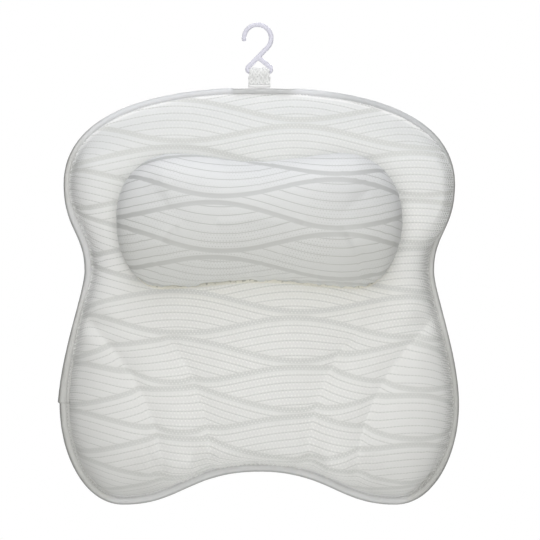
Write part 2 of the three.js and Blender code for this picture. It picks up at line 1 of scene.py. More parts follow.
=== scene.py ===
# %% [markdown]
# # A bath pillow, dressed on its frame
# The solid model says where every piece is and how it moves. This script gives each piece its look:
# swollen mesh fabric, a stuffed neck bolster, satin tape, clear suction cups and a moulded hook. Lengths
# are millimetres in the solid model's frame, with +Z up and the front facing -Y, and become metres when a
# mesh is made.

# %% Load the frame
import json
import math
from dataclasses import dataclass

import bmesh
import bpy
import numpy as np
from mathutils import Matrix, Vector, geometry, kdtree, noise


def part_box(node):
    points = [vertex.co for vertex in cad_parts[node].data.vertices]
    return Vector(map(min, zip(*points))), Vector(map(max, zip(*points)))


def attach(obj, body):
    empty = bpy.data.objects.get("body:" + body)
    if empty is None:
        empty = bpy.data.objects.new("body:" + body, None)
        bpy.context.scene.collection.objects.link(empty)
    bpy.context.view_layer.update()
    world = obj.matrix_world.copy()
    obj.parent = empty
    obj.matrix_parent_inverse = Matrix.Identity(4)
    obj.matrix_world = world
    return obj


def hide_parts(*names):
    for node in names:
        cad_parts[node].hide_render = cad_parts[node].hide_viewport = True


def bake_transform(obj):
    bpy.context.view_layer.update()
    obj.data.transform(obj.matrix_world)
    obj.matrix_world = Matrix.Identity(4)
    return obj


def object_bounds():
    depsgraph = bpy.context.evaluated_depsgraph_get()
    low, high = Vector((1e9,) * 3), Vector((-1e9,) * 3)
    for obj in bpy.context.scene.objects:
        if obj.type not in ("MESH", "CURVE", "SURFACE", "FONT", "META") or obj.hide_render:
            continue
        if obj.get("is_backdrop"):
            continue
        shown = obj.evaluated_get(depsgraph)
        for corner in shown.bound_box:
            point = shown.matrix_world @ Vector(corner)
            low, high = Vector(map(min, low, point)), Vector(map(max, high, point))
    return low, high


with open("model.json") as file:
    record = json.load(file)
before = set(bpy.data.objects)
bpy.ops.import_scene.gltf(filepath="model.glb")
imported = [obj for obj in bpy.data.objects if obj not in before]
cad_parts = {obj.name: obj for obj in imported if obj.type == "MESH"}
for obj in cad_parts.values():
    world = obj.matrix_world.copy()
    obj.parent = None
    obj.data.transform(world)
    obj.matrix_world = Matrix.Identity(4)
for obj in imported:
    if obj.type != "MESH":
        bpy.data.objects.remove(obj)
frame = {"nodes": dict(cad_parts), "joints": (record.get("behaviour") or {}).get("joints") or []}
cad_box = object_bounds()
scene = bpy.context.scene
MM = 0.001
print("solid model:", len(frame["nodes"]), "nodes,", [round(v / MM) for v in cad_box[1] - cad_box[0]], "mm")


def node_box(name):
    """A node's lowest and highest corners in millimetres."""
    low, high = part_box(name)
    return np.array(low) / MM, np.array(high) / MM


# %% [markdown]
# ## The camera
# The photograph looks straight at the front. A long lens keeps the near bolster and the far edge at
# nearly one scale, so a pixel can stand for one millimetre on a plane between them.

# %% Camera
PHOTO_PIXELS = 540
PHOTO_ORIGIN = (259.3, 271)
LENS = 600
SENSOR = 36
SHARP_Y = -30

camera_data = bpy.data.cameras.new("camera")
camera_data.lens = LENS
camera_data.sensor_width = SENSOR
camera_data.clip_end = 100
camera = bpy.data.objects.new("camera", camera_data)
scene.collection.objects.link(camera)
aim = Vector((PHOTO_PIXELS / 2 - PHOTO_ORIGIN[0], SHARP_Y, PHOTO_ORIGIN[1] - PHOTO_PIXELS / 2))
stand_off = PHOTO_PIXELS * LENS / SENSOR
camera.location = (aim - Vector((0, stand_off, 0))) * MM
camera.rotation_euler = (math.pi / 2, 0, 0)
scene.camera = camera
print("camera", round(stand_off), "mm in front of the pillow")

# %% [markdown]
# ## Sums that add nodes
# A finish is a net of shader nodes. Joining them one by one hides what they work out, so this class wraps
# one socket and lets Python's own signs add the Math nodes. Every other kind of node comes from one
# method.

# %% Wires
class Wire:
    """One output socket. A sum with wires adds Math nodes, and node() adds a node of any kind."""

    def __init__(self, tree, socket):
        self.tree = tree
        self.socket = socket

    def node(self, kind, settings=None, inputs=None, out=0):
        made = self.tree.nodes.new(kind)
        for name, value in (settings or {}).items():
            setattr(made, name, value)
        for key, value in (inputs or {}).items():
            if isinstance(value, Wire):
                self.tree.links.new(value.socket, made.inputs[key])
            else:
                made.inputs[key].default_value = value
        return Wire(self.tree, made.outputs[out])

    def math(self, operation, *others):
        return self.node("ShaderNodeMath", {"operation": operation}, dict(enumerate((self, *others))))

    def __add__(self, other):
        return self.math("ADD", other)

    def __sub__(self, other):
        return self.math("SUBTRACT", other)

    def __mul__(self, other):
        return self.math("MULTIPLY", other)

    def __mod__(self, other):
        return self.math("FLOORED_MODULO", other)

    def __rsub__(self, other):
        return self.math("MULTIPLY_ADD", -1.0, other)

    __radd__ = __add__
    __rmul__ = __mul__

    def below(self, edge, soft):
        """1 where the value lies under the edge, 0 where it lies over it, and soft between."""
        stops = {"Value": self, 1: edge - soft, 2: edge + soft, 3: 1.0, 4: 0.0}
        return self.node("ShaderNodeMapRange", {"interpolation_type": "SMOOTHSTEP"}, stops)

    def between(self, low, high):
        """A colour that turns from one into another as this share goes from 0 to 1."""
        return self.node("ShaderNodeMix", {"data_type": "RGBA"}, {0: self, 6: low, 7: high}, 2)

    def coats(self, *layers):
        """This colour under one coat after another, each a screen colour and the share that it covers."""
        colour = self
        for screen, share in layers:
            colour = share.between(colour, paint(*screen))
        return colour

    def feeds(self, socket):
        shader = self.tree.nodes["Principled BSDF"]
        self.tree.links.new(self.socket, shader.inputs[socket])


def paint(red, green, blue):
    """A screen colour, 0 to 255 each, in the linear values that shaders take."""
    shares = [v / 255 for v in (red, green, blue)]
    return tuple(s / 12.92 if s < 0.04045 else ((s + 0.055) / 1.055) ** 2.4 for s in shares) + (1.0,)


def new_finish(name, **steady):
    """A material whose even values are set on its shader, and a wire to start its nodes from."""
    material = bpy.data.materials.new(name)
    material.use_nodes = True
    shader = material.node_tree.nodes["Principled BSDF"]
    for socket, value in steady.items():
        shader.inputs[socket.replace("_", " ")].default_value = value
    return material, Wire(material.node_tree, shader.outputs[0])


def relief(height):
    """Turns a height in millimetres into the shader's normal."""
    height.node("ShaderNodeBump", None, {"Height": height, "Distance": MM}).feeds("Normal")


print("wires ready")

# %% [markdown]
# ## Light and floor
# The pillow hangs in soft light from the front and above, with a cooler lamp right over it, a fill from
# the front and below, and a lamp behind that keeps its back readable. The white behind it comes from the
# world as the camera, glossy and clear surfaces see it, not from more light on the fabric. The floor lies
# well below, where other views show it with the pillow's shadow.

# %% Studio
FRONT_LIGHT = 0.3
BEHIND_LIGHT = 0.08
SEEING_RAYS = ("Camera", "Glossy", "Transmission")
LAMP_REACH = 3000
FLOOR_DROP = 320
FLOOR_RADIUS = 1500
FLOOR_GLOW = 0.35


def paint_light(share):
    """Even grey light, from none at 0 to white at 1."""
    return (share, share, share, 1)


def rays_that_see(start):
    """1 for rays that look at the surroundings, and 0 for rays that gather light."""
    seen = [start.node("ShaderNodeLightPath", out=f"Is {kind} Ray") for kind in SEEING_RAYS]
    return seen[0].math("MAXIMUM", seen[1].math("MAXIMUM", seen[2]))


world = bpy.data.worlds.new("studio")
scene.world = world
world.use_nodes = True
background = world.node_tree.nodes["Background"]
shown = rays_that_see(Wire(world.node_tree, background.outputs[0]))
way = shown.node("ShaderNodeTexCoord", out="Generated")
ahead = way.node("ShaderNodeSeparateXYZ", None, {0: way}, "Y")
fill = ahead.below(0.0, 0.7).between(paint_light(BEHIND_LIGHT), paint_light(FRONT_LIGHT))
sky = shown.between(fill, paint_light(1))
world.node_tree.links.new(sky.socket, background.inputs["Color"])


def add_lamp(name, towards, width, share, colour):
    """A square lamp that shines on the pillow from a direction with a share of full light."""
    data = bpy.data.lights.new(name, "AREA")
    data.size = width * MM
    data.energy = share * (math.pi * LAMP_REACH * MM) ** 2
    data.color = colour
    lamp = bpy.data.objects.new(name, data)
    lamp.location = Vector(towards).normalized() * LAMP_REACH * MM
    lamp.rotation_euler = lamp.location.to_track_quat("Z", "Y").to_euler()
    lamp.visible_camera = False
    scene.collection.objects.link(lamp)


add_lamp("main_lamp", (-0.01, -0.7, 0.71), 2800, 0.41, (1.0, 1.0, 0.99))
add_lamp("top_lamp", (-0.02, -0.2, 0.98), 2400, 0.275, (0.94, 0.97, 1.0))
add_lamp("front_lamp", (0.0, -0.98, -0.17), 2600, 0.35, (1.0, 0.99, 0.97))
add_lamp("back_lamp", (0.2, 0.9, 0.4), 2200, 0.95, (1.0, 1.0, 1.0))

floor_mesh = bpy.data.meshes.new("floor")
disc = bmesh.new()
bmesh.ops.create_circle(disc, cap_ends=True, segments=96, radius=FLOOR_RADIUS * MM)
disc.to_mesh(floor_mesh)
disc.free()
floor = bpy.data.objects.new("floor", floor_mesh)
floor.location.z = cad_box[0].z - FLOOR_DROP * MM
scene.collection.objects.link(floor)
floor_finish, start = new_finish(
    "pale_floor", Base_Color=paint(236, 236, 234), Roughness=0.9, Emission_Strength=1)
rays_that_see(start).between(paint_light(0), paint_light(FLOOR_GLOW)).feeds("Emission Color")
floor_mesh.materials.append(floor_finish)
floor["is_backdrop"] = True
scene.view_settings.view_transform = "Standard"
print("four lamps, floor", FLOOR_DROP, "mm below the pillow")

# %% [markdown]
# ## Lines and meshes
# Soft pieces are cut from outlines. An outline here is a row of cubic curves for the right half, mirrored
# and spaced evenly. A point's place on the cloth is then told by its distance from that outline.

# %% Outlines
def cubic(corners, steps=80):
    a, b, c, d = (np.array(p, float) for p in corners)
    t = np.linspace(0, 1, steps + 1)[:, None]
    return a * (1 - t) ** 3 + 3 * b * t * (1 - t) ** 2 + 3 * c * t**2 * (1 - t) + d * t**3


def arc(middle, radius, start, end, steps):
    turns = np.linspace(start, end, steps)
    return np.column_stack([middle[0] + radius * np.cos(turns), middle[1] + radius * np.sin(turns)])


def run_along(line):
    """How far along a line each of its points lies."""
    return np.concatenate([[0], np.cumsum(np.linalg.norm(np.diff(line, axis=0), axis=1))])


def unit(rows):
    """The same directions, each with a length of one."""
    return rows / np.linalg.norm(rows, axis=1)[:, None]


def respaced(line, spacing, closed=False):
    """The same line through evenly spaced points."""
    if closed:
        line = np.vstack([line, line[:1]])
    run = run_along(line)
    stops = np.linspace(0, run[-1], max(3, round(run[-1] / spacing)) + 1)
    if closed:
        stops = stops[:-1]
    return np.column_stack([np.interp(stops, run, column) for column in line.T])


def mirrored_loop(half, spacing):
    """A closed outline from the curves of its right half, clockwise from the top middle."""
    right = np.vstack([cubic(corners)[:-1] for corners in half] + [np.array([half[-1][3]], float)])
    left = right[1:-1][::-1] * (-1, 1)
    return respaced(np.vstack([right, left]), spacing, closed=True)


def inward(loop):
    """The direction into a clockwise outline at each of its points."""
    along = unit(np.roll(loop, -1, axis=0) - np.roll(loop, 1, axis=0))
    return np.column_stack([along[:, 1], -along[:, 0]])


def search_tree(points):
    """Finds the nearest of many points in space."""
    tree = kdtree.KDTree(len(points))
    for i, point in enumerate(points):
        tree.insert(point, i)
    tree.balance()
    return tree


def nearest(points, line):
    """How far each point is from a line of close points, and which of them is nearest."""
    tree = search_tree([(x, z, 0) for x, z in line])
    hits = [tree.find((x, z, 0)) for x, z in points]
    return np.array([h[2] for h in hits]), np.array([h[1] for h in hits])


def inset_of(points, loop):
    """How far inside an outline each point lies, less than 0 outside, and the nearest outline point."""
    away, at = nearest(points, loop)
    side = np.sum((points - loop[at]) * inward(loop)[at], axis=1)
    return np.where(side < 0, -away, away), at


PAD_HALF = [
    [(0, 184), (135, 184), (196, 145), (196, 87)],
    [(196, 87), (196, 42), (175, 38), (175, 0)],
    [(175, 0), (175, -21), (200, -83), (200, -134)],
    [(200, -134), (200, -181), (177, -234), (136, -234)],
    [(136, -234), (79, -234), (69, -201), (0, -201)],
]
FINE = 0.5
pad_outline = mirrored_loop(PAD_HALF, FINE)
print("pad outline", round(len(pad_outline) * FINE), "mm round")


# %% Cutting cloth
ROW_ROOM = 0.72


def cut_cloth(rows, inside, spacing):
    """Triangles over a piece of cloth: rows of fixed points, the first one its closed edge, and a honeycomb
    of free points wherever inside() allows them and no row is near."""
    fixed = np.vstack(rows)
    low, high = fixed.min(axis=0), fixed.max(axis=0)
    lift = spacing * math.sqrt(3) / 2
    grid = np.array([(x + spacing / 2 * (j % 2), z)
                     for j, z in enumerate(np.arange(low[1], high[1], lift))
                     for x in np.arange(low[0], high[0], spacing)])
    grid = grid[inside(grid)]
    away, _ = nearest(grid, fixed)
    points = np.vstack([fixed, grid[away > ROW_ROOM * spacing]])
    edge = list(range(len(rows[0])))
    made = geometry.delaunay_2d_cdt([Vector(p) for p in points], [], [edge], 1, 1e-5)
    return np.array([tuple(p) for p in made[0]]), [tuple(face) for face in made[2]]


print("cloth is cut with free points at least", ROW_ROOM, "of their spacing from a seam")


# %% Pieces and their points
def ring_faces(rings, count, first=0):
    """Quads between closed rings of points, each of the same count, that follow one another in a list."""
    faces = []
    for ring in range(first, first + (rings - 1) * count, count):
        for i in range(count):
            one, two = ring + i, ring + (i + 1) % count
            faces.append((one, two, two + count, one + count))
    return faces


def new_piece(name, points, faces, marks=None):
    """A smooth-shaded object from points in millimetres, with the marks of each point."""
    mesh = bpy.data.meshes.new(name)
    mesh.from_pydata((np.asarray(points, float) * MM).tolist(), [], [tuple(f) for f in faces])
    mesh.shade_smooth()
    piece = bpy.data.objects.new(name, mesh)
    scene.collection.objects.link(piece)
    if marks is not None:
        mark(piece, marks)
    return piece


def triples(items, field):
    """Three numbers of each item of a mesh, as rows."""
    flat = np.empty(len(items) * 3, np.float32)
    items.foreach_get(field, flat)
    return flat.reshape(-1, 3).astype(float)


def points_of(piece):
    return triples(piece.data.vertices, "co") / MM


def move_points(piece, points):
    piece.data.vertices.foreach_set("co", (points * MM).ravel())
    piece.data.update()


def normals_of(piece):
    return triples(piece.data.vertex_normals, "vector")


def mark(piece, values, name="cloth"):
    """Keeps three numbers for each point on the mesh, for the finish to read."""
    layer = piece.data.attributes.new(name, "FLOAT_VECTOR", "POINT")
    layer.data.foreach_set("vector", np.asarray(values, np.float32).ravel())


def marks_of(piece, name="cloth"):
    return triples(piece.data.attributes[name].data, "vector")


print("piece helpers ready")


# %% Finishing a piece
def settle(piece):
    """Applies every modifier."""
    whole = bpy.data.meshes.new_from_object(piece.evaluated_get(bpy.context.evaluated_depsgraph_get()))
    piece.modifiers.clear()
    piece.data = whole
    whole.shade_smooth()


def smooth_finer(piece):
    """One round of subdivision, applied."""
    finer = piece.modifiers.new("finer", "SUBSURF")
    finer.levels = 1
    finer.render_levels = 1
    settle(piece)


def reskin(piece, voxel):
    """One even skin of small faces in place of the piece's own, once it is settled."""
    skin = piece.modifiers.new("skin", "REMESH")
    skin.mode = "VOXEL"
    skin.voxel_size = voxel * MM


def dress(piece, body, slot, finish, *nodes):
    """Gives a piece its finish, the body it moves with and the solids it stands for."""
    piece.data.materials.clear()
    piece.data.materials.append(finish)
    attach(piece, body)
    if nodes:
        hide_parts(*nodes)
    print(piece.name, len(piece.data.vertices), "points on", body)


def lay_flat(piece):
    """A texture map that follows the cloth's own flat places."""
    spots = marks_of(piece)[:, :2]
    low = spots.min(axis=0)
    spots = (spots - low) / (spots.max(axis=0) - low).max()
    corners = np.empty(len(piece.data.loops), np.int32)
    piece.data.loops.foreach_get("vertex_index", corners)
    layer = piece.data.uv_layers.new(name="OFBake")
    layer.data.foreach_set("uv", spots[corners].astype(np.float32).ravel())


def unevenness(points, size, seed):
    """Smooth noise of about -1 to 1, with bumps of the given size."""
    return np.array([noise.noise(Vector(p) / size + Vector((seed, 0, 0))) for p in points])


print("finishing helpers ready")

# %% [markdown]
# ## Swelling cloth
# Padding pushes its cover out wherever no seam holds it. Blender's Cloth does just that: the seams are
# pinned, a steady pressure blows the rest outwards for twenty frames, and the result becomes the mesh.
# How far a point may move is capped, so the pillow keeps its size.

# %% Cloth
SWELL_FRAMES = 20


def swell(piece, sewn, pressure, stiffness, cap):
    """Blows up a sheet between its sewn points."""
    start = points_of(piece)
    group = piece.vertex_groups.new(name="sewn")
    group.add([int(i) for i in np.flatnonzero(sewn)], 1.0, "REPLACE")
    cloth = piece.modifiers.new("swell", "CLOTH")
    cloth.collision_settings.use_collision = False
    cloth.point_cache.frame_start = 1
    cloth.point_cache.frame_end = SWELL_FRAMES
    rules = cloth.settings
    rules.quality = 5
    rules.mass = 0.3
    rules.tension_stiffness = stiffness
    rules.compression_stiffness = stiffness
    rules.shear_stiffness = stiffness / 3
    rules.bending_stiffness = 0.5
    rules.use_pressure = True
    rules.uniform_pressure_force = pressure
    rules.vertex_group_mass = group.name
    rules.effector_weights.gravity = 0
    for number in range(1, SWELL_FRAMES + 1):
        scene.frame_set(number)
    settle(piece)
    scene.frame_set(1)
    moved = points_of(piece) - start
    length = np.linalg.norm(moved, axis=1)
    print(piece.name, "swells", round(float(length.max()), 1), "mm at most,",
          round(float(length.mean()), 2), "on average")
    keep = np.minimum(1, cap / np.maximum(length, 1e-6))
    move_points(piece, start + moved * keep[:, None])
    piece.vertex_groups.clear()


print("cloth ready")

# %% [markdown]
# ## Waves in the cloth
# Both fabrics are knitted with wavy bands that swing apart and meet again, and fine lines that follow the
# band on one side. A few sums say how far any place is from a band and from a fine line. The same sums
# press the bands into the mesh and colour them in the finish, so the two always agree.

# %% Waves
@dataclass
class Waves:
    """A fabric's pattern in millimetres on the cloth laid flat. Its tilt is a slope."""

    length: float
    swing: float
    repeat: float
    half_gap: float
    middle_x: float
    middle_z: float
    tilt: float
    band: float
    spacing: float
    lines_hang: bool


PAD_WAVES = Waves(240, 9.2, 49.0, 3.15, 39, -43.7, math.tan(math.radians(1.5)), 5.2, 7.4, True)
BOLSTER_WAVES = Waves(240, 10.3, 53.9, 3.3, -42.6, 72.7, math.tan(math.radians(2.1)), 4.8, 8.6, False)


def cosine(value):
    return value.math("COSINE") if isinstance(value, Wire) else np.cos(value)


def lesser(one, other):
    return one.math("MINIMUM", other) if isinstance(one, Wire) else np.minimum(one, other)


def band_gaps(waves, x, z):
    """How far a place lies under the next band and over the last one."""
    swing = waves.swing * cosine((x - waves.middle_x) * (2 * math.pi / waves.length))
    rise = z - waves.middle_z + waves.tilt * (x - waves.middle_x)
    crest = waves.half_gap + waves.swing - swing
    over_crest = (rise - crest) % waves.repeat
    over_trough = (rise + crest) % waves.repeat
    under = lesser(waves.repeat - over_crest, waves.repeat - over_trough)
    return under, lesser(over_crest, over_trough)


def eased(share):
    """A share from 0 to 1 with soft ends."""
    share = np.clip(share, 0, 1)
    return share * share * (3 - 2 * share)


DENT_SIZE = 34
DENT_SEED = 3.1
GROOVE_SHARE = 0.75


def press_bands(piece, waves, depth, unevenly):
    """Presses the bands into the cloth, and gives it small dents."""
    marks = marks_of(piece)
    band = lesser(*band_gaps(waves, marks[:, 0], marks[:, 1]))
    groove = eased(1 - band / (GROOVE_SHARE * waves.band))
    points = points_of(piece)
    dents = unevenness(points, DENT_SIZE, DENT_SEED) * unevenly
    move_points(piece, points + normals_of(piece) * (dents - depth * groove)[:, None])


print("band repeat", PAD_WAVES.repeat, "mm on the pad,", BOLSTER_WAVES.repeat, "mm on the bolster")

# %% [markdown]
# ## Finish of the pad's front
# The front is spacer mesh. Its bands are pressed grey strips with two rows of pale dots, and rows of
# fainter dots lie between the fine lines, which are dashed. A plain grid of dots would cut across the
# waves, so the dots are counted along the bands and lines. They show most in the middle, where the mesh
# is least stretched, reach further out on the right and fade towards the top. Near the bolster's seam the
# white turns a little ivory, and the seam itself has pale fuzz and dark gaps. Painted light makes the mesh
# lighter along the top, just inside the tape at the top, beside the bolster and below its foot, lifting
# the shade there. Its ground is painted a little darker and cooler towards the top and warmer below, in
# place of the light's fall and colour. Painted shade darkens it towards the edge of the lower wings, and
# along the sides, where it turns away, its real holes are painted dark as shade.

# %% Patterns
def cloth_place(start, name="cloth"):
    """The cloth's own place at a point, and its three numbers one by one."""
    place = start.node("ShaderNodeAttribute", {"attribute_name": name}, out="Vector")
    return (place, *[place.node("ShaderNodeSeparateXYZ", None, {0: place}, k) for k in range(3)])


def dots(along, across, pitch, gap):
    """How far a place lies from the nearest dot, in staggered rows a gap apart."""
    row = (across * (1 / gap)).math("FLOOR")
    aside = ((along * (1 / pitch) + row * 0.5) % 1.0 - 0.5) * pitch
    off_row = across % gap - gap / 2
    return (aside * aside + off_row * off_row).math("SQRT")


LINE_HALF = 0.4
LINE_SOFT = 0.4
BAND_SOFT = 0.8


def wave_parts(waves, x, z):
    """Shares of a band and a fine line at a place, and its way across the band and from the last line."""
    under, over = band_gaps(waves, x, z)
    above = over.math("LESS_THAN", under)
    across = over * above - under * (1 - above)
    in_band = lesser(under, over).below(waves.band / 2, BAND_SOFT)
    run = (under if waves.lines_hang else over) % waves.spacing
    on_line = lesser(run, waves.spacing - run).below(LINE_HALF, LINE_SOFT) * (1 - in_band)
    return in_band, on_line, across, run


def cloudy(place, size, detail=2.0):
    """Soft noise from 0 to 1 with clouds of the given size, in the unit of the place."""
    inputs = {"Vector": place, "Scale": 1 / size, "Detail": detail}
    return place.node("ShaderNodeTexNoise", None, inputs)


print("patterns ready")

# %% Mesh fabric
DOT_PITCH = 3.6
BAND_ROW_GAP = 2.5
DOTTED_WIDTH = 105


def mesh_fabric():
    """The front's spacer mesh. Its stretches are told apart in millimetres on the cloth laid flat."""
    finish, start = new_finish("mesh_fabric", Roughness=0.85, Sheen_Weight=0.1, Sheen_Roughness=0.5)
    place, x, z, seam = cloth_place(start)
    _, past_tape, on_wing, in_hollow = cloth_place(start, "edge")
    in_band, on_line, across, run = wave_parts(PAD_WAVES, x, z)
    band_dot = dots(x, across, DOT_PITCH, BAND_ROW_GAP).below(0.65, 0.4) * in_band
    field_dot = dots(x, run, DOT_PITCH, PAD_WAVES.spacing / 2).below(0.75, 0.45) * (1 - in_band)
    hole = dots(x, z, DOT_PITCH * 0.8, DOT_PITCH * 0.7).below(0.75, 0.5)
    patchy = cloudy(place, 40).below(0.5, 0.2)
    on_sides = z.below(132, 20) * (1 - z.below(-190, 20)) * (1 - in_hollow)
    # Along the steep sides the real hole dots are painted dark as shade, less on the left and not in the
    # hollow.
    turned_away_shade = past_tape.below(6, 5) * on_sides
    at_top = past_tape.below(12, 9) * (1 - z.below(150, 20))
    # The outer band of the lower wings, where painted shade darkens the mesh.
    wing_edge = past_tape.below(44, 40) * on_wing
    at_foot = past_tape.below(9, 8) * z.below(-190, 25)
    on_left = x.below(0, 30)
    over_waist = z.below(85, 45) * (1 - z.below(-15, 25))
    left_margin = past_tape.below(26, 22) * x.below(-100, 30) * over_waist
    right_margin = (1 - x.below(130, 20)) * x.below(168, 15) * over_waist
    by_tape = past_tape.below(1.5, 1.2) * (1 - z.below(95, 15))
    # Painted light: the mesh is made lighter along the top, just inside the tape at the top and in the
    # margins beside the bolster, lifting the shade there.
    painted_light = at_top * 0.3 + by_tape * 0.6 + left_margin * 0.6 + right_margin * 0.25
    outwards = x.math("ABSOLUTE") - (1 - on_left) * (1 - z.below(-80, 25)) * 80
    dotted = outwards.below(DOTTED_WIDTH, 45) * (0.45 + patchy * 0.45)
    dotted = dotted * (0.4 + z.below(70, 50) * 0.5) + 0.1
    dash = ((x * (1 / DOT_PITCH)) % 1.0 - 0.5).math("ABSOLUTE").below(0.33, 0.12)
    # Painted light just below the bolster's foot, lifting the bolster's shadow on the mesh.
    painted_light_under_seam = seam * z.below(0, 15) * (1 - x.below(-70, 30))
    seam_fuzz = 1 - seam.below(0.88, 0.04)
    seam_gap = (1 - seam.below(0.93, 0.02)) * cloudy(place, 5).below(0.42, 0.05)
    # Painted shade: darker towards the wings' edge, more on the left and at the foot, and a little towards
    # the bottom.
    painted_shade = wing_edge * (0.1 + on_left * 0.08 + at_foot * 0.14) + z.below(-140, 30) * 0.05
    # The ground is painted a little darker and cooler towards the top and warmer below, in place of the
    # light's fall and colour.
    ground = z.below(30, 110).between(paint(231, 232, 232), paint(236, 236, 234))
    ground.coats(
        ((255, 255, 255), painted_light),
        ((255, 254, 246), painted_light_under_seam * 0.35),
        ((237, 236, 227), seam * 0.35),
        ((215, 216, 213), in_band * 0.8),
        ((209, 210, 207), on_line * (0.45 + dash * 0.5)),
        ((255, 255, 252), band_dot * (0.15 + dotted * 0.6) + field_dot * dotted),
        ((150, 150, 146), turned_away_shade * hole * (0.8 - on_left * 0.3)),
        ((246, 243, 226), seam_fuzz * 0.6),
        ((120, 118, 108), seam_gap * 0.45),
        ((150, 150, 147), painted_shade),
    ).feeds("Base Color")
    knit = dots(x, z, DOT_PITCH / 3, DOT_PITCH / 3).below(0.35, 0.25)
    raised = band_dot * 0.14 + field_dot * (0.04 + dotted * 0.2)
    relief(raised + knit * 0.04 - on_line * 0.14 - in_band * 0.1)
    return finish


mesh_finish = mesh_fabric()
print("mesh fabric:", len(mesh_finish.node_tree.nodes), "nodes")

# %% [markdown]
# ## The padded front
# On the real pillow a sheet of mesh is drawn over fibre and sewn down at its edge, at the bolster's seam
# and along four fanning channels. A height over the outline could fake that, but cloth swelling between
# its seams gets the soft shoulders of each channel right. The sheet is cut with rows of points along
# every seam, so the seams stay crisp, and is then blown up and made finer. Its roll down to the tape is
# wide on the lower wings, a gentle slope along the top, steep in the hollow between the wings, and
# pinched where a channel runs out to the tape. On the right, over the waist, the padding leans over the
# tape.

# %% Sizes of the front
back_y = node_box("back_panel")[1][1]
crown_y = node_box("front_panel")[0][1]
tape_low, tape_high = node_box("edge_binding")
TAPE_WIDTH = 7.4
WIDER_TAPE = 0.3
foot_y = tape_low[1] + 1.3
ROLL_START = 7.2
OVERHANG = 3.8
ROLL_WIDTH = 32
WING_ROLL = 62
TOP_ROLL = 50
TOP_SLOPE = 1.6
TOP_FOOT = 1.6
STEEPER = 20
LEANING_STEEPER = 23
LEAN_OUT = 3
PINCH_ROLL = 24
PINCH_REACH = 8
ROLL_ROWS = (0, 6, 12, 18, 25, 33, 41)
TUCK = 2.5
CLOTH_SPACING = 4.4
START_RISE = 0.955
COVERED_SINK = 3
SINK_REACH = 14
SEAM_REACH = 22
ON_SEAM = 0.6
UPPER_STRETCH = 1.025
LOWER_STRETCH = 0.986

OUTER_CHANNEL = [(173, -49), (140, -80), (95, -135), (95, -224)]
INNER_CHANNEL = [(96, -59), (75, -85), (48, -130), (48, -212)]
OUTER_FADE = 0.02
INNER_FADE = 0.12
CHANNEL_DEPTH = 8.5
CHANNEL_SOFTNESS = 9.5
CHANNEL_ROUND = 1.2
CHANNEL_ROWS = (0, -3.8, 3.8)
KINK = 0.5

BOLSTER_HALF = [
    [(0, 110), (32, 110), (50, 118), (85, 118)],
    [(85, 118), (118, 118), (143, 90), (143, 52)],
    [(143, 52), (143, 14), (123, -16), (98, -16)],
    [(98, -16), (58, -16), (40, -10), (0, -10)],
]
SEAM_INSET = 9
LOW_SEAM_INSET = 1
bolster_outline = mirrored_loop(BOLSTER_HALF, FINE)
bolster_into = inward(bolster_outline)


def faces_way(part):
    """How fully an edge faces one way, from that part of its inward direction."""
    return eased(1.25 * part - 0.25)


low_side = faces_way(bolster_into[:, 1])
seam_inset = SEAM_INSET + (LOW_SEAM_INSET - SEAM_INSET) * low_side
bolster_seam = bolster_outline + seam_inset[:, None] * bolster_into
print("bolster outline", round(len(bolster_outline) * FINE), "mm round, crown at", round(crown_y, 1), "mm")

# %% Stretches of the edge
# Each pair says where along an axis a stretch of the edge begins and where it is fully there.
WING_OUT = (60, 120)
WING_SIDE_OUT = (140, 180)
WING_DOWN = (-40, -100)
BOTTOM_DOWN = (-150, -190)
FOOT_DOWN = (-170, -200)
TOP_UP = (110, 160)
LEAN_RIGHT = (120, 170)
LEAN_UP = (10, 50)
LEAN_DOWN = (155, 95)
WAIST_Z = 25
WAIST_NEAR = (65, 25)


def ramp(places, limits):
    """A soft share that is 0 at the first limit and 1 at the second."""
    return eased((places - limits[0]) / (limits[1] - limits[0]))


edge_x, edge_z = pad_outline.T
from_middle = np.abs(edge_x)
on_left = edge_x < 0
wing = ramp(edge_z, WING_DOWN) * ramp(from_middle, WING_OUT)
wing_side = ramp(edge_z, WING_DOWN) * ramp(from_middle, WING_SIDE_OUT)
bottom = ramp(edge_z, BOTTOM_DOWN) * (1 - wing_side)
hollow = ramp(edge_z, BOTTOM_DOWN) * (1 - wing)
top = ramp(edge_z, TOP_UP)
leaning = ramp(edge_x, LEAN_RIGHT) * ramp(edge_z, LEAN_UP) * ramp(edge_z, LEAN_DOWN)
waist = ramp(np.abs(edge_z - WAIST_Z), WAIST_NEAR) * on_left
wider = np.maximum(np.maximum(wing, waist) * on_left, ramp(edge_z, FOOT_DOWN))
tape_scale = 1 + WIDER_TAPE * wider
roll_start = ROLL_START * tape_scale - OVERHANG * leaning
roll_width = ROLL_WIDTH + (WING_ROLL - ROLL_WIDTH) * wing + (TOP_ROLL - ROLL_WIDTH) * top
roll_width = roll_width - np.maximum(STEEPER * hollow, LEANING_STEEPER * leaning)

print("pad rolls down to the tape over", roll_width.min().round(), "to", roll_width.max().round(), "mm")

# %% Sewn channels
channels = []
for corners, fade in ((OUTER_CHANNEL, OUTER_FADE), (INNER_CHANNEL, INNER_FADE)):
    for side in (-1, 1):
        line = respaced(cubic(corners), 1.0) * (side, 1)
        share = np.linspace(0, 1, len(line))
        channels.append((line, np.clip(share / fade, 0, 1)))

channel_ends = [line[-1] for line, _ in channels] + [line[0] for line, _ in channels[:2]]
for end in pad_outline[nearest(channel_ends, pad_outline)[1]]:
    away = np.sum((pad_outline - end) ** 2, axis=1)
    roll_width = roll_width + PINCH_ROLL * np.exp(-away / PINCH_REACH**2)


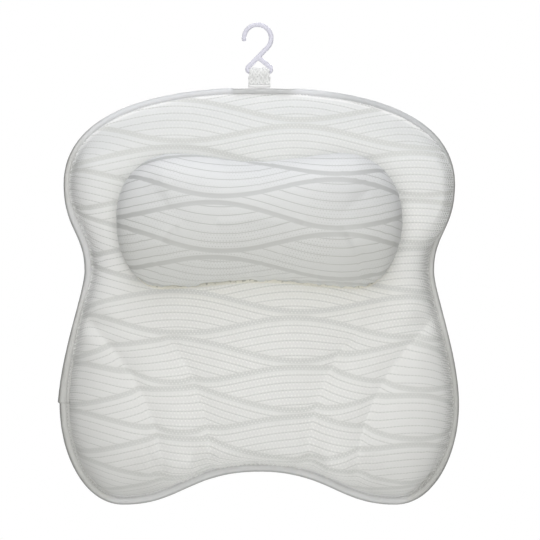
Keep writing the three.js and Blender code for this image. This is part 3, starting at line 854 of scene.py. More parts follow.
def beside(line, offset):
    """A line that runs at an offset beside another."""
    along = unit(np.gradient(line, axis=0))
    return line + offset * np.column_stack([along[:, 1], -along[:, 0]])


def to_channel(points):
    """How far each point lies from the nearest channel."""
    return np.min([nearest(points, line)[0] for line, _ in channels], axis=0)


def channel_depth(points):
    """How deep the sewn channels draw the sheet in."""
    deepest = np.zeros(len(points))
    for line, strength in channels:
        away, at = nearest(points, line)
        fall = np.exp((CHANNEL_ROUND - np.hypot(away, CHANNEL_ROUND)) / CHANNEL_SOFTNESS)
        deepest = np.maximum(deepest, CHANNEL_DEPTH * strength[at] * fall)
    return deepest


print("channels", [len(line) for line, _ in channels], "mm long")

# %% Front sheet
EDGE_SLACK = 0.1
rise = foot_y - crown_y
roll_angles = np.radians(np.linspace(0, 90, 91))
roll_shares = 1 - np.cos(roll_angles)
roll_steps = np.hypot(ROLL_WIDTH * np.diff(roll_shares), rise * np.diff(np.sin(roll_angles)))
roll_left = np.append(np.cumsum(roll_steps[::-1])[::-1], 0)
roll_extra = roll_left - ROLL_WIDTH * (1 - roll_shares)


def front_sheet():
    """The sheet before it swells: its points, faces, two sets of marks and which points are sewn."""
    into = inward(pad_outline)
    insets = [0 * roll_start + TUCK, (TUCK + roll_start) / 2]
    insets += [roll_start + roll_width * (1 - math.cos(math.radians(a))) for a in ROLL_ROWS]
    rows = [respaced(pad_outline + inset[:, None] * into, CLOTH_SPACING, closed=True) for inset in insets]

    def past_roll(spots, room):
        inset, at = inset_of(spots, pad_outline)
        return inset > insets[-1][at] + room * CLOTH_SPACING

    seams = [respaced(beside(line, off), CLOTH_SPACING if off else CLOTH_SPACING / 2)
             for line, _ in channels for off in CHANNEL_ROWS]
    seams.append(respaced(bolster_seam, CLOTH_SPACING, closed=True))
    rows += [seam[past_roll(seam, 0.5)] for seam in seams]
    flat, faces = cut_cloth(rows, lambda grid: past_roll(grid, 0.6), CLOTH_SPACING)
    inset, at = inset_of(flat, pad_outline)
    depth = channel_depth(flat)
    share = np.clip((inset - roll_start[at]) / roll_width[at], 0, 1)
    lift = np.sin(np.arccos(1 - share))
    lift = lift + (1 - (1 - share) ** TOP_SLOPE - lift) * top[at]
    spot = flat - (4 * lift * (1 - lift) * LEAN_OUT * leaning[at])[:, None] * into[at]
    covered, _ = inset_of(flat, bolster_seam)
    height = lift * (rise - depth) * START_RISE - COVERED_SINK * eased(covered / SINK_REACH)
    height = height + TOP_FOOT * top[at] * (inset > roll_start[at] - EDGE_SLACK)
    points = np.column_stack([spot[:, 0], foot_y - height, spot[:, 1]])
    extra = np.interp(share, roll_shares, roll_extra) * (1 - top[at])
    spread = flat - extra[:, None] * into[at]
    above = spread[:, 1] - PAD_WAVES.middle_z
    up = PAD_WAVES.middle_z + above * np.where(above > 0, UPPER_STRETCH, LOWER_STRETCH) - KINK * depth
    to_seam, _ = nearest(flat, bolster_seam)
    marks = np.column_stack([spread[:, 0], up, np.exp(-to_seam / SEAM_REACH)])
    edge = np.column_stack([inset - roll_start[at], wing[at], hollow[at]])
    in_channel = to_channel(flat) < ON_SEAM
    sewn = (inset < roll_start[at] + EDGE_SLACK) | in_channel | (to_seam < ON_SEAM) | (covered > 0)
    return points, faces, marks, edge, sewn


sheet_points, sheet_faces, sheet_marks, sheet_edge, sheet_sewn = front_sheet()
pad_front = new_piece("pad_front", sheet_points, sheet_faces, sheet_marks)
mark(pad_front, sheet_edge, "edge")
print("front sheet", len(sheet_points), "points,", int(sheet_sewn.sum()), "sewn")

# %% Swell the front
swell(pad_front, sheet_sewn, pressure=20, stiffness=12, cap=7)
smooth_finer(pad_front)
press_bands(pad_front, PAD_WAVES, depth=0.6, unevenly=0.5)
lay_flat(pad_front)
dress(pad_front, "pad", "mesh_fabric", mesh_finish, "front_panel")

# %% [markdown]
# ## Finish of the bolster
# The bolster's cover is a smoother, bluer white knit. Its bands are plain grey instead of dotted, its
# fine lines follow the band below them, and tiny specks of the knit show between the lines. Painted light
# whitens it along the top. It is a little warmer below, and painted shade darkens it towards its ends,
# most of all on the right, and deepens its bands and lines far out.

# %% Bolster fabric
SPECK_PITCH = 3.1
KNIT_PITCH = 1.2


def bolster_fabric():
    """The bolster's smooth knit, in millimetres on the cover laid flat."""
    finish, start = new_finish("bolster_fabric", Roughness=0.75, Sheen_Weight=0.15, Sheen_Roughness=0.4)
    place, x, z, _ = cloth_place(start)
    in_band, on_line, _, run = wave_parts(BOLSTER_WAVES, x, z)
    speck = dots(x, run, SPECK_PITCH, BOLSTER_WAVES.spacing / 3).below(0.5, 0.3)
    speck = speck * (1 - in_band) * (1 - on_line) * cloudy(place, 45).below(0.5, 0.15)
    low = z.below(55, 50)
    # Painted shade towards the ends, most on the right and below the top, and on the bands and lines far
    # out.
    at_ends = (1 - x.below(85, 45)) * 0.33 + (1 - x.below(132, 14)) * 0.2 + x.below(-85, 45) * 0.22
    far_out = (1 - x.below(105, 35)) + x.below(-105, 35)
    ground = cloudy(place, 60).between(paint(231, 232, 233), paint(227, 228, 228))
    ground.coats(
        # Painted light whitens the top.
        ((243, 244, 246), (1 - z.below(98, 22)) * 0.8),
        ((190, 191, 193), at_ends * (0.6 + z.below(90, 20) * 0.4)),
        ((204, 205, 205), in_band * 0.9),
        ((192, 193, 192), on_line * 0.8),
        ((140, 141, 142), (in_band + on_line) * far_out * 0.32),
        ((198, 199, 197), speck * (0.45 + low * 0.4)),
        ((190, 188, 160), low * 0.15),
    ).feeds("Base Color")
    knit = dots(x, z, KNIT_PITCH, KNIT_PITCH).below(0.35, 0.25)
    relief(knit * 0.04 - on_line * 0.16 - in_band * 0.1 - speck * 0.06)
    return finish


bolster_finish = bolster_fabric()
print("bolster fabric:", len(bolster_finish.node_tree.nodes), "nodes")

# %% [markdown]
# ## The neck bolster
# A bolster is a bag of fibre that bulges past the seam it is sewn by. A height over its outline can't
# fold back under the bulge, so the cloth is cut wider than the outline: what lies outside it turns under
# to the seam. Along the foot the bolster slopes down to a seam that stays in sight, gathered and a little
# ragged. The cover swells like the pad, and is puckered where the thread gathers it.

# %% Sizes of the bolster
seat_y = node_box("bolster_cover")[1][1]
BOLSTER_HEIGHT = 54
BULGE_HEIGHT = 17
LOW_BULGE_HEIGHT = 3
BOLSTER_ROLL = 42
LOW_BOLSTER_ROLL = 84
END_BOLSTER_ROLL = 80
FULLNESS = 2.3
LOW_FULLNESS = 1.7
SPREAD_SHARE = 0.4
UNDER_CLOTH = 21
UNDER_ROWS = (21, 17, 13, 9, 4.5)
BOLSTER_ROWS = (0, 2, 6, 11, 17, 24)
BOLSTER_START = 0.95
SEAM_SINK = 1.2

bulge = BULGE_HEIGHT + (LOW_BULGE_HEIGHT - BULGE_HEIGHT) * low_side
end_side = faces_way(np.abs(bolster_into[:, 0]))
bolster_roll = BOLSTER_ROLL + (LOW_BOLSTER_ROLL - BOLSTER_ROLL) * low_side
bolster_roll = bolster_roll + (END_BOLSTER_ROLL - bolster_roll) * end_side
crown_insets = np.linspace(0, BOLSTER_ROLL, 200)
fullness = FULLNESS + (LOW_FULLNESS - FULLNESS) * low_side


def crown(share, full):
    """The dome's height as a share of its rise, from its edge to where it is level."""
    return (1 - (1 - np.clip(share, 0, 1)) ** full) ** (1 / full)


crown_lifts = (BOLSTER_HEIGHT - BULGE_HEIGHT) * crown(crown_insets / BOLSTER_ROLL, FULLNESS)
crown_steps = np.hypot(np.diff(crown_insets), np.diff(crown_lifts)) - np.diff(crown_insets)
crown_extra = SPREAD_SHARE * np.append(np.cumsum(crown_steps[::-1])[::-1], 0)
print("bolster", BOLSTER_HEIGHT, "mm proud, widest", bulge.min().round(), "to", bulge.max().round(), "mm up")


# %% Bolster sheet
def bolster_sheet():
    """The cover's points before it swells, its faces, marks and seam."""
    insets = [-s for s in UNDER_ROWS] + list(BOLSTER_ROWS)
    rows = [respaced(bolster_outline + inset * bolster_into, CLOTH_SPACING, closed=True)
            for inset in insets]

    def past_rows(grid):
        return inset_of(grid, bolster_outline)[0] > insets[-1] + 0.6 * CLOTH_SPACING

    flat, faces = cut_cloth(rows, past_rows, CLOTH_SPACING)
    inset, at = inset_of(flat, bolster_outline)
    under = np.clip(-inset / UNDER_CLOTH, 0, 1) * math.pi / 2
    dome = bulge[at] + (BOLSTER_HEIGHT - bulge[at]) * crown(inset / bolster_roll[at], fullness[at])
    height = np.where(inset < 0, bulge[at] * (1 - np.sin(under)), dome)
    tucked = bolster_outline[at] + (seam_inset[at] * (1 - np.cos(under)))[:, None] * bolster_into[at]
    spot = np.where((inset < 0)[:, None], tucked, flat)
    points = np.column_stack([spot[:, 0], seat_y + SEAM_SINK - height * BOLSTER_START, spot[:, 1]])
    spare = np.interp(inset, crown_insets, crown_extra)
    spread = np.where((inset < 0)[:, None], spot, flat) - spare[:, None] * bolster_into[at]
    drop = np.where(inset < 0, bulge[at] * np.sin(under), 0)
    spread = spread - drop[:, None] * bolster_into[at]
    return points, faces, np.column_stack([spread, inset]), inset < -UNDER_CLOTH + 1


cover_points, cover_faces, cover_marks, cover_sewn = bolster_sheet()
bolster = new_piece("bolster", cover_points, cover_faces, cover_marks)
print("bolster cover", len(cover_points), "points,", int(cover_sewn.sum()), "sewn")

# %% Stuff the bolster
PUCKER_START = -8
PUCKER_REACH = 9
PUCKER_DEPTH = 1.1
RAGGED = 1.3


def pucker_seam(piece):
    """Small folds that run out from the seam, where the thread gathers the cover."""
    points = points_of(piece)
    inset = marks_of(piece)[:, 2]
    _, at = nearest(points[:, [0, 2]], bolster_outline)
    fade = np.exp(-np.maximum(inset - PUCKER_START, 0) / PUCKER_REACH) * (0.5 + low_side[at])
    folds = np.array([noise.noise((s / 6.5, h / 30, 0.7)) + 0.5 * noise.noise((s / 2.8, h / 18, 4.2))
                      for s, h in zip(at * FINE, inset)])
    waver = np.array([noise.noise((s / 11, 0, 7.7)) + 0.6 * noise.noise((s / 4, 0, 2.2))
                      for s in at * FINE])
    shift = bolster_into[at] * (RAGGED * waver * fade * low_side[at])[:, None]
    points = points + normals_of(piece) * (PUCKER_DEPTH * folds * fade)[:, None]
    move_points(piece, points + np.insert(shift, 1, 0, axis=1))


swell(bolster, cover_sewn, pressure=20, stiffness=12, cap=6)
smooth_finer(bolster)
press_bands(bolster, BOLSTER_WAVES, depth=0.4, unevenly=0.6)
pucker_seam(bolster)
lay_flat(bolster)
dress(bolster, "pad", "bolster_fabric", bolster_finish, "bolster_cover")

# %% [markdown]
# ## The bound edge
# Satin tape is folded over the raw edges and sewn through. Its section is swept round the outline from
# the lap on the left: a full roll outside, a groove where the thread pulls it down, and a second soft
# ridge against the pad. A plain sweep looks like moulded trim, so the tape ripples along its length,
# steps where it laps over itself, and rolls forward at the top, where the hanging loop pulls on it. More
# of it shows on the left and along the foot. Light and shade are painted on it: it is painted lighter
# along the top, at the left waist and in the hollow, and painted shade darkens it on the wings, at the
# upper right corner, along its fold and in the groove. Its inner ridge has a painted white highlight along
# the top and round that corner.

# %% Satin tape
TAPE_RIB = 0.9
CORNER_RUN = 620
CORNER_REACH = 80
FOLD_WIDTH = 6
GROOVE_PLACE = 18
RIDGE_PLACE = 22


def tape_satin():
    """Satin whose colour is told along the tape and by the way from its fold, with light and shade painted
    on it from its third mark.
    """
    finish, start = new_finish("tape_satin", Specular_IOR_Level=0.2)
    place, along, from_fold, light_and_shade = cloth_place(start)
    rib = (along * (2 * math.pi / TAPE_RIB)).math("SINE")
    mottle = cloudy(place, 7)
    # The third mark is painted light above 0 and painted shade below it.
    light = light_and_shade.math("MAXIMUM", 0.0)
    shaded = (0 - light_and_shade).math("MAXIMUM", 0.0)
    from_fold = from_fold.math("ABSOLUTE")
    # Painted shade along the outer fold, less where the tape is painted light.
    fold = from_fold.below(FOLD_WIDTH, 3) * (1 - light * light * 0.8)
    # At the upper right corner the tape gets painted shade and its inner ridge a painted highlight.
    corner = (along - CORNER_RUN).math("ABSOLUTE").below(CORNER_REACH, 25)
    # Painted shade in the stitched groove and a painted highlight on the inner ridge.
    groove = (from_fold - GROOVE_PLACE).math("ABSOLUTE").below(2, 1.5)
    ridge = (from_fold - RIDGE_PLACE).math("ABSOLUTE").below(2, 1.5)
    ground = mottle.between(paint(218, 218, 216), paint(206, 206, 203))
    ground.coats(
        ((236, 237, 241), light * 0.75),
        ((180, 182, 182), corner * 0.45),
        ((185, 185, 181), shaded * 0.4),
        ((165, 166, 165), groove * (0.32 - light * 0.2)),
        ((252, 252, 252), ridge * (light * 0.5 + corner * 0.4)),
        ((105, 105, 102), fold * 0.75),
    ).feeds("Base Color")
    (0.5 + mottle * 0.16).feeds("Roughness")
    relief(rib * 0.03 + mottle * 0.25)
    return finish


tape_finish = tape_satin()
print("satin:", len(tape_finish.node_tree.nodes), "nodes")

# %% Tape
STATION = 1.1
STITCH_PITCH = 3.4
STITCH_INSET = 5.7
INNER_RIDGE = 6.8
tape_front, tape_back = tape_low[1], tape_high[1]
TAPE_SECTION = [
    (9.2, 3.0), (8.6, 2.0), (7.9, 1.2), (7.4, 0.3), (INNER_RIDGE, -0.1), (6.2, 0.1), (STITCH_INSET, 0.8),
    (5.1, -0.2), (4.3, -0.8), (3.4, -1.0), (2.5, -0.8), (1.7, -0.4), (1.0, 0.4), (0.46, 1.35), (0.12, 2.5),
]
LAP_PLACE = (-200, -131)
LAP_STEP = 1.8
LAP_REACH = 32
ROLLED_LEFT = (-29, -24)
ROLLED_RIGHT = (41, 27)
TOP_EDGE_Z = 150
ROLL_FORWARD = 6
ROLL_DOWN = 1.2
RIPPLE_HEIGHT = 0.4
WRINKLE_HEIGHT = 0.3
RIDGE_HALF = 1.2
PINCH_HEIGHT = 0.25
ROW_MARK = 2.0


def tape_sweep():
    """The tape's points, faces and marks."""
    loop = respaced(pad_outline, STATION, closed=True)
    loop = np.roll(loop, -int(nearest([LAP_PLACE], loop)[1][0]), axis=0)
    into = inward(loop)
    count = len(loop)
    run = np.arange(count) * STATION
    step = LAP_STEP * np.exp(-run / LAP_REACH)
    rolled = ramp(loop[:, 0], ROLLED_LEFT) * ramp(loop[:, 0], ROLLED_RIGHT) * (loop[:, 1] > TOP_EDGE_Z)
    at = nearest(loop, pad_outline)[1]
    # Painted light and shade for the satin: light along the top, less where the tape rolls forward, along
    # the bottom and at the left waist, and shade on the wings' sides, most on the right.
    light_and_shade = np.maximum(top[at] * (1 - 0.5 * rolled), 0.45 * bottom[at])
    light_and_shade = np.maximum(light_and_shade, 0.5 * waist[at]) - wing_side[at] * np.where(edge_x[at] > 0, 1.7, 1)
    middle = (tape_front + tape_back) / 2
    front = [(i, tape_front + d) for i, d in TAPE_SECTION]
    back = [(i, tape_back - d) for i, d in reversed(TAPE_SECTION)]
    rows, marks = [], []
    for k, (inset, y) in enumerate(front + [(0.0, middle)] + back):
        facing = -1 if y < middle else 1
        ripple = np.array([RIPPLE_HEIGHT * noise.noise((s / 12, k / 6, facing))
                           + WRINKLE_HEIGHT * noise.noise((s / 4.5, k / 5, 9 + facing)) for s in run])
        ridge = max(0, 1 - abs(inset - INNER_RIDGE) / RIDGE_HALF)
        pinch = PINCH_HEIGHT * ridge * np.cos(2 * math.pi * run / STITCH_PITCH)
        outer = 1 - inset / TAPE_WIDTH
        away = inset * tape_scale[at] - 0.3 * ripple + (ROLL_DOWN * rolled - step) * max(outer, 0)
        depth = y + facing * (ripple + pinch + 0.35 * step) - ROLL_FORWARD * rolled * max(outer, 0)
        spot = loop + away[:, None] * into
        rows.append(np.column_stack([spot[:, 0], depth, spot[:, 1]]))
        from_fold = ROW_MARK * (k - len(TAPE_SECTION))
        marks.append(np.column_stack([run, np.full(count, from_fold), light_and_shade]))
    return np.vstack(rows), ring_faces(len(rows), count), np.vstack(marks)


edge_tape = new_piece("edge_tape", *tape_sweep())
dress(edge_tape, "pad", "binding_tape", tape_finish, "edge_binding")

# %% [markdown]
# ## Thread
# Stitches are short bars of thread that arch a little over the cloth and dive into it at both ends. One
# small bar is repeated along a line, which is light enough to be real geometry.

# %% Stitches
def thread_finish():
    finish, start = new_finish("thread", Roughness=0.6)
    _, along, _, _ = cloth_place(start)
    twist = (along * 9.0).math("SINE")
    (twist * 0.5 + 0.5).between(paint(226, 226, 225), paint(212, 212, 211)).feeds("Base Color")
    relief(twist * 0.05)
    return finish


THREAD_SIDES = 6
THREAD_RADIUS = 0.32
BAR_STOPS = ((-1.0, 0.3, -0.25), (-0.7, 0.9, 0.05), (0.0, 1.0, 0.2), (0.7, 0.9, 0.05), (1.0, 0.3, -0.25))


def stitch_bars(name, line, outward, closed, pitch=STITCH_PITCH, share=0.72):
    """Bars of thread along a line of points in space; outward says which way the cloth faces at each."""
    line = np.asarray(line, float)
    run = run_along(line)
    middles = np.arange(pitch / 2, run[-1] - (0 if closed else pitch / 2), pitch)

    def at(stops, table):
        return np.column_stack([np.interp(stops, run, column) for column in np.asarray(table, float).T])

    centre, out = at(middles, line), unit(at(middles, outward))
    ahead = unit(at(middles + 0.3, line) - at(middles - 0.3, line))
    side = np.cross(ahead, out)
    points, faces, marks = [], [], []
    for c, a, o, s in zip(centre, ahead, out, side):
        base = len(points)
        for t, width, rise in BAR_STOPS:
            for k in range(THREAD_SIDES):
                turn = 2 * math.pi * k / THREAD_SIDES
                rim = THREAD_RADIUS * width * (math.cos(turn) * s + math.sin(turn) * o)
                points.append(c + a * (t * pitch * share / 2) + o * rise + rim)
                marks.append((t * pitch * share / 2 + turn / 6, turn, 0))
        faces += ring_faces(len(BAR_STOPS), THREAD_SIDES, base)
        faces.append(tuple(base + k for k in reversed(range(THREAD_SIDES))))
        last = base + (len(BAR_STOPS) - 1) * THREAD_SIDES
        faces.append(tuple(last + k for k in range(THREAD_SIDES)))
    return new_piece(name, points, faces, marks)


thread = thread_finish()
stitch_loop = pad_outline + (STITCH_INSET * tape_scale)[:, None] * inward(pad_outline)
stitch_loop = respaced(stitch_loop, 1.0, closed=True)
stitch_loop = np.vstack([stitch_loop, stitch_loop[:1]])
TAPE_STITCH_SINK = 0.55
for name, y, facing in (("edge_stitches_front", tape_front, -1), ("edge_stitches_back", tape_back, 1)):
    line = np.insert(stitch_loop, 1, y - TAPE_STITCH_SINK * facing, axis=1)
    bars = stitch_bars(name, line, np.tile((0, facing, 0), (len(line), 1)), closed=True)
    dress(bars, "pad", "binding_tape", thread)

# %% [markdown]
# ## The back
# The back is a flat sheet of open mesh with six eyelet holes. It is cut like the front, with rows of
# points round the holes, and dented a little along the channels' stitching and between them, so that it
# reads as cloth.

# %% Eyelets
CUPS = [f"{row}_{side}" for row in ("upper", "middle", "lower") for side in ("left", "right")]


def middle_of(node):
    low, high = node_box(node)
    return (low + high) / 2


eyelets = {cup: middle_of(f"grommet_{cup}")[[0, 2]] for cup in CUPS}
HOLE_RADIUS = 7.3
FLANGE_RADIUS = (node_box("grommet_upper_left")[1] - middle_of("grommet_upper_left"))[0]
BACK_SPACING = 6
BACK_INSET = 3
BACK_DENT = 1.1
BACK_DENT_SIZE = 46
BACK_DENT_SEED = 8.3
SEWN_DEPTH = 2.2
SEWN_REACH = 5
FLAT_EDGE = 10
CALM_REACH = 20
EDGE_REACH = 12
SEWN_FADE = 6
DENT_SINK = 0.2

print("six eyelets at", [spot.round().tolist() for spot in eyelets.values()])


# %% Back mesh
def back_mesh():
    finish, start = new_finish("back_mesh", Roughness=0.9)
    place, x, z, _ = cloth_place(start)
    hole = dots(x, z, 2.7, 2.3).below(0.72, 0.25)
    rib = dots(x, z, 0.9, 0.8).below(0.3, 0.2)
    ground = cloudy(place, 30).between(paint(235, 236, 234), paint(227, 228, 225))
    ground.coats(((190, 191, 190), hole * 0.8)).feeds("Base Color")
    relief(rib * 0.05 - hole * 0.45)
    return finish


back_finish = back_mesh()
print("back mesh:", len(back_finish.node_tree.nodes), "nodes")

# %% Back sheet
HOLE_POINTS = 28
HOLE_ROWS = (HOLE_RADIUS, 10, 14)
CLEAR_OF_HOLE = 16


def to_eyelet(points):
    """How far each point lies from the nearest eyelet's middle."""
    return np.min([np.linalg.norm(points - m, axis=1) for m in eyelets.values()], axis=0)


def back_sheet():
    edge = respaced(pad_outline + BACK_INSET * inward(pad_outline), BACK_SPACING / 2, closed=True)
    rows = [edge]
    for middle in eyelets.values():
        rows += [arc(middle, radius, 0, 2 * math.pi, HOLE_POINTS + 1)[:-1] for radius in HOLE_ROWS]
    rows += [respaced(line, BACK_SPACING / 2)[4:-6] for line, _ in channels]

    def inside(grid):
        return (inset_of(grid, pad_outline)[0] > BACK_INSET + 3) & (to_eyelet(grid) > CLEAR_OF_HOLE)

    flat, faces = cut_cloth(rows, inside, BACK_SPACING)
    middles = np.array([flat[list(face)].mean(axis=0) for face in faces])
    outside_holes = to_eyelet(middles) > HOLE_RADIUS - 0.4
    whole = [face[::-1] for face, kept in zip(faces, outside_holes) if kept]
    inset, _ = inset_of(flat, pad_outline)
    calm = np.clip((to_eyelet(flat) - FLANGE_RADIUS) / CALM_REACH, 0, 1)
    calm = calm * np.clip((inset - FLAT_EDGE) / EDGE_REACH, 0, 1)
    marks = np.column_stack([flat, np.zeros(len(flat))])
    dents = BACK_DENT * unevenness(marks, BACK_DENT_SIZE, BACK_DENT_SEED)
    drawn_in = SEWN_DEPTH * np.exp(-to_channel(flat) / SEWN_REACH)
    drawn_in = drawn_in * np.clip((inset - FLAT_EDGE) / SEWN_FADE, 0, 1)
    soft = calm * (dents - DENT_SINK) - drawn_in
    points = np.column_stack([flat[:, 0], back_y + soft, flat[:, 1]])
    return points, whole, marks


pad_back = new_piece("pad_back", *back_sheet())
smooth_finer(pad_back)
lay_flat(pad_back)
dress(pad_back, "pad", "back_mesh", back_finish, "back_panel")

# %% Stitching of the channels, seen on the back
CHANNEL_STITCH_SINK = 2.1
CHANNEL_STITCH_END = 13
for number, (line, _) in enumerate(channels):
    inset, _ = inset_of(line, pad_outline)
    line = line[inset > CHANNEL_STITCH_END]
    run = np.insert(line, 1, back_y - CHANNEL_STITCH_SINK, axis=1)
    outward = np.tile((0, 1, 0), (len(run), 1))
    bars = stitch_bars(f"channel_stitches_{number + 1}", run, outward, closed=False)
    dress(bars, "pad", "back_mesh", thread)

# %% [markdown]
# ## Suction cups and grommets
# Both are turned shapes: a section spun about the hole's axis. A section with a few extra points at each
# corner keeps the corners crisp under smooth shading. The cups are clear vinyl, so their walls have two
# faces. The washers that lock the grommets inside keep the solid model's shape and take their plastic.

# %% Turning
def turned(name, middle, section, segments, closed=False):
    """Spins a section of radius and depth about the Y axis through a place in the front view."""
    points, rings = [], []
    for radius, y in section:
        ring = []
        for k in range(segments if radius > 0 else 1):
            turn = 2 * math.pi * k / segments
            ring.append(len(points))
            points.append((middle[0] + radius * math.cos(turn), y, middle[1] + radius * math.sin(turn)))
        rings.append(ring)
    faces = []
    for one, two in zip(rings, rings[1:] + (rings[:1] if closed else [])):
        for k in range(segments):
            after = k + 1
            corners = [one[k % len(one)], one[after % len(one)], two[after % len(two)], two[k % len(two)]]
            corners = list(dict.fromkeys(corners))
            if len(corners) > 2:
                faces.append(corners[::-1])
    return new_piece(name, points, faces)


print("turning ready")


# %% Vinyl and plastic
def clear_vinyl():
    finish, start = new_finish(
        "clear_vinyl", Base_Color=paint(247, 250, 251), Transmission_Weight=0.92, IOR=1.4)
    place = start.node("ShaderNodeTexCoord", out="Object")
    haze = cloudy(place, 1 / 160, 3.0)
    (0.06 + haze * 0.1).feeds("Roughness")
    relief(haze * 0.012)
    return finish


def moulded_plastic(name, colour, shade, roughness):
    finish, start = new_finish(name, Specular_IOR_Level=0.1)
    place = start.node("ShaderNodeTexCoord", out="Object")
    grain = cloudy(place, 1 / 420, 4.0)
    flow = cloudy(place, 1 / 40)
    flow.between(colour, shade).feeds("Base Color")
    (roughness + grain * 0.12).feeds("Roughness")
    relief(grain * 0.006)
    return finish


vinyl = clear_vinyl()
eyelet_plastic = moulded_plastic("eyelet_plastic", paint(240, 240, 240), paint(231, 232, 233), 0.3)
print("vinyl and plastic ready")

# %% Cups and grommets
CUP_RADIUS = 30
CUP_WALL = 3
CUP_DEPTH = 12
HEAD_DEPTH = 3.6
HEAD_ROUND = 2.6
NECK_RADIUS = 4.6
HEAD_RADIUS = 7.5
SHOULDER_RADIUS = 9
RIM_WIDTH = 2.6
RIM_THICKNESS = 0.9
BORE_RADIUS = 5.2
BARREL_WALL = 1.8
LIP_REACH = 2.8
RIM_ROLL = 0.75
FLANGE_THICKNESS = 1.5
LIP_THICKNESS = 1
SHARP_ROUND = 0.3


def cup_section(head_front, rim):
    """The cup's section, from the middle of its head round to the middle of its hollow."""
    head_back = head_front + HEAD_DEPTH
    shoulder = rim - CUP_DEPTH
    floor = shoulder + CUP_WALL
    bend = np.radians(np.linspace(0, 90, 7))
    head = [(HEAD_RADIUS * math.sin(a), head_front + HEAD_ROUND * (1 - math.cos(a))) for a in bend]
    neck = [(HEAD_RADIUS, head_back - 0.4), (HEAD_RADIUS - 0.4, head_back), (NECK_RADIUS + 0.3, head_back),
            (NECK_RADIUS, head_back + 0.3), (NECK_RADIUS, shoulder - 0.1), (NECK_RADIUS + 0.1, shoulder)]
    out = np.linspace(0, 1, 14)
    skirt = [(SHOULDER_RADIUS + (CUP_RADIUS - SHOULDER_RADIUS) * t,
              shoulder + (rim - RIM_THICKNESS - shoulder) * t**1.6) for t in out]
    lip = [(CUP_RADIUS + 0.12, rim - 0.5), (CUP_RADIUS, rim - 0.1), (CUP_RADIUS - 0.15, rim)]
    hollow_radius = CUP_RADIUS - RIM_WIDTH
    hollow = [(hollow_radius * t, floor + (rim - floor) * t**2) for t in np.linspace(1, 0, 12)]
    return head + neck + [(SHOULDER_RADIUS - 0.3, shoulder)] + skirt + lip + hollow


def grommet_section(low, high, flange_low):
    """A closed section: a flange with a rolled rim, a barrel and a turned-over lip."""
    bore, barrel, lip = BORE_RADIUS, BORE_RADIUS + BARREL_WALL, BORE_RADIUS + LIP_REACH
    turned_over = low + LIP_THICKNESS
    middle = (flange_low + high) / 2
    roll = [(FLANGE_RADIUS - RIM_ROLL + RIM_ROLL * math.sin(a), middle - RIM_ROLL * math.cos(a))
            for a in np.radians(np.linspace(0, 180, 9))]
    return [
        (bore, low + SHARP_ROUND), (bore + SHARP_ROUND, low), (lip - SHARP_ROUND, low),
        (lip, low + SHARP_ROUND), (lip, turned_over), (barrel, turned_over), (barrel, flange_low), *roll,
        (bore + 1.0, high), (bore + SHARP_ROUND, high - 0.2), (bore, high - 0.6),
    ]


for cup in CUPS:
    low, high = node_box(f"suction_cup_{cup}")
    made = turned(f"cup_{cup}", middle_of(f"suction_cup_{cup}")[[0, 2]], cup_section(low[1], high[1]), 64)
    dress(made, f"cup_{cup}", "clear_vinyl", vinyl, f"suction_cup_{cup}")
    low, high = node_box(f"grommet_{cup}")
    section = grommet_section(low[1], high[1], high[1] - FLANGE_THICKNESS)
    made = turned(f"eyelet_{cup}", eyelets[cup], section, 48, closed=True)
    dress(made, "pad", "grommet_plastic", eyelet_plastic, f"grommet_{cup}")
    washer = frame["nodes"][f"lock_washer_{cup}"].data
    washer.materials.clear()
    washer.materials.append(eyelet_plastic)

# %% [markdown]
# ## The hook
# One moulded rod: an open eye that runs into a straight stem, round a corner into the bar that the strap
# holds, and round another corner back up to the stem. Two swept tubes would meet in a hard line, so they
# are remeshed into one skin, which also rounds the fillet where leg and stem join.

# %% Sizes of the hook
joints = {joint["name"]: np.array(joint["pos_m"]) / MM for joint in frame["joints"]}
bar = joints["hook_swing"]
ROD_RADIUS = 2.3
SKIN_ALLOWANCE = 0.14
EYE_RADIUS = 13.6
EYE_X = -1.7
EYE_HEIGHT = 33.8
TIP_ANGLE = 184
STEM_ANGLE = 45.4
BAR_RIGHT = 17.3
APEX_HEIGHT = 14.8
CORNER_RADIUS = 3
GATE_ANGLE = 93
GATE_STEP = 0.12
ROD_STEP = 0.6
ROD_ENDS = ((-0.9, 0.45), (-0.65, 0.76), (-0.3, 0.95))
HOOK_VOXEL = 0.32

stem = math.radians(STEM_ANGLE)
stem_top = (EYE_X + EYE_RADIUS * math.sin(stem), EYE_HEIGHT - EYE_RADIUS * math.cos(stem))
bar_left = stem_top[0] - stem_top[1] / math.tan(stem)
apex_x = bar_left + APEX_HEIGHT / math.tan(stem)
leg = math.atan2(APEX_HEIGHT, BAR_RIGHT - apex_x)
left_corner = bar_left + CORNER_RADIUS / math.tan(stem / 2)
right_corner = BAR_RIGHT - CORNER_RADIUS / math.tan(leg / 2)
print("hook", round(EYE_HEIGHT + EYE_RADIUS + ROD_RADIUS, 1), "mm over its bar")


# %% Hook
def rod(path, radius_at, sides=20):
    """A round rod along a path in the hook's plane, with rounded ends."""
    path = respaced(path, ROD_STEP)
    along = unit(np.gradient(path, axis=0))
    radii = radius_at(path)
    first, last = radii[0], radii[-1]
    stations = [(path[0] + along[0] * r * first, along[0], first * w) for r, w in ROD_ENDS]
    stations += list(zip(path, along, radii))
    stations += [(path[-1] - along[-1] * r * last, along[-1], last * w) for r, w in reversed(ROD_ENDS)]
    points = []
    for spot, way, radius in stations:
        for k in range(sides):
            turn = 2 * math.pi * k / sides
            across = radius * math.cos(turn)
            points.append((bar[0] + spot[0] - way[1] * across, bar[1] + radius * math.sin(turn),
                           bar[2] + spot[1] + way[0] * across))
    faces = ring_faces(len(stations), sides)
    faces.append(tuple(reversed(range(sides))))
    faces.append(tuple(range(len(points) - sides, len(points))))
    return points, faces


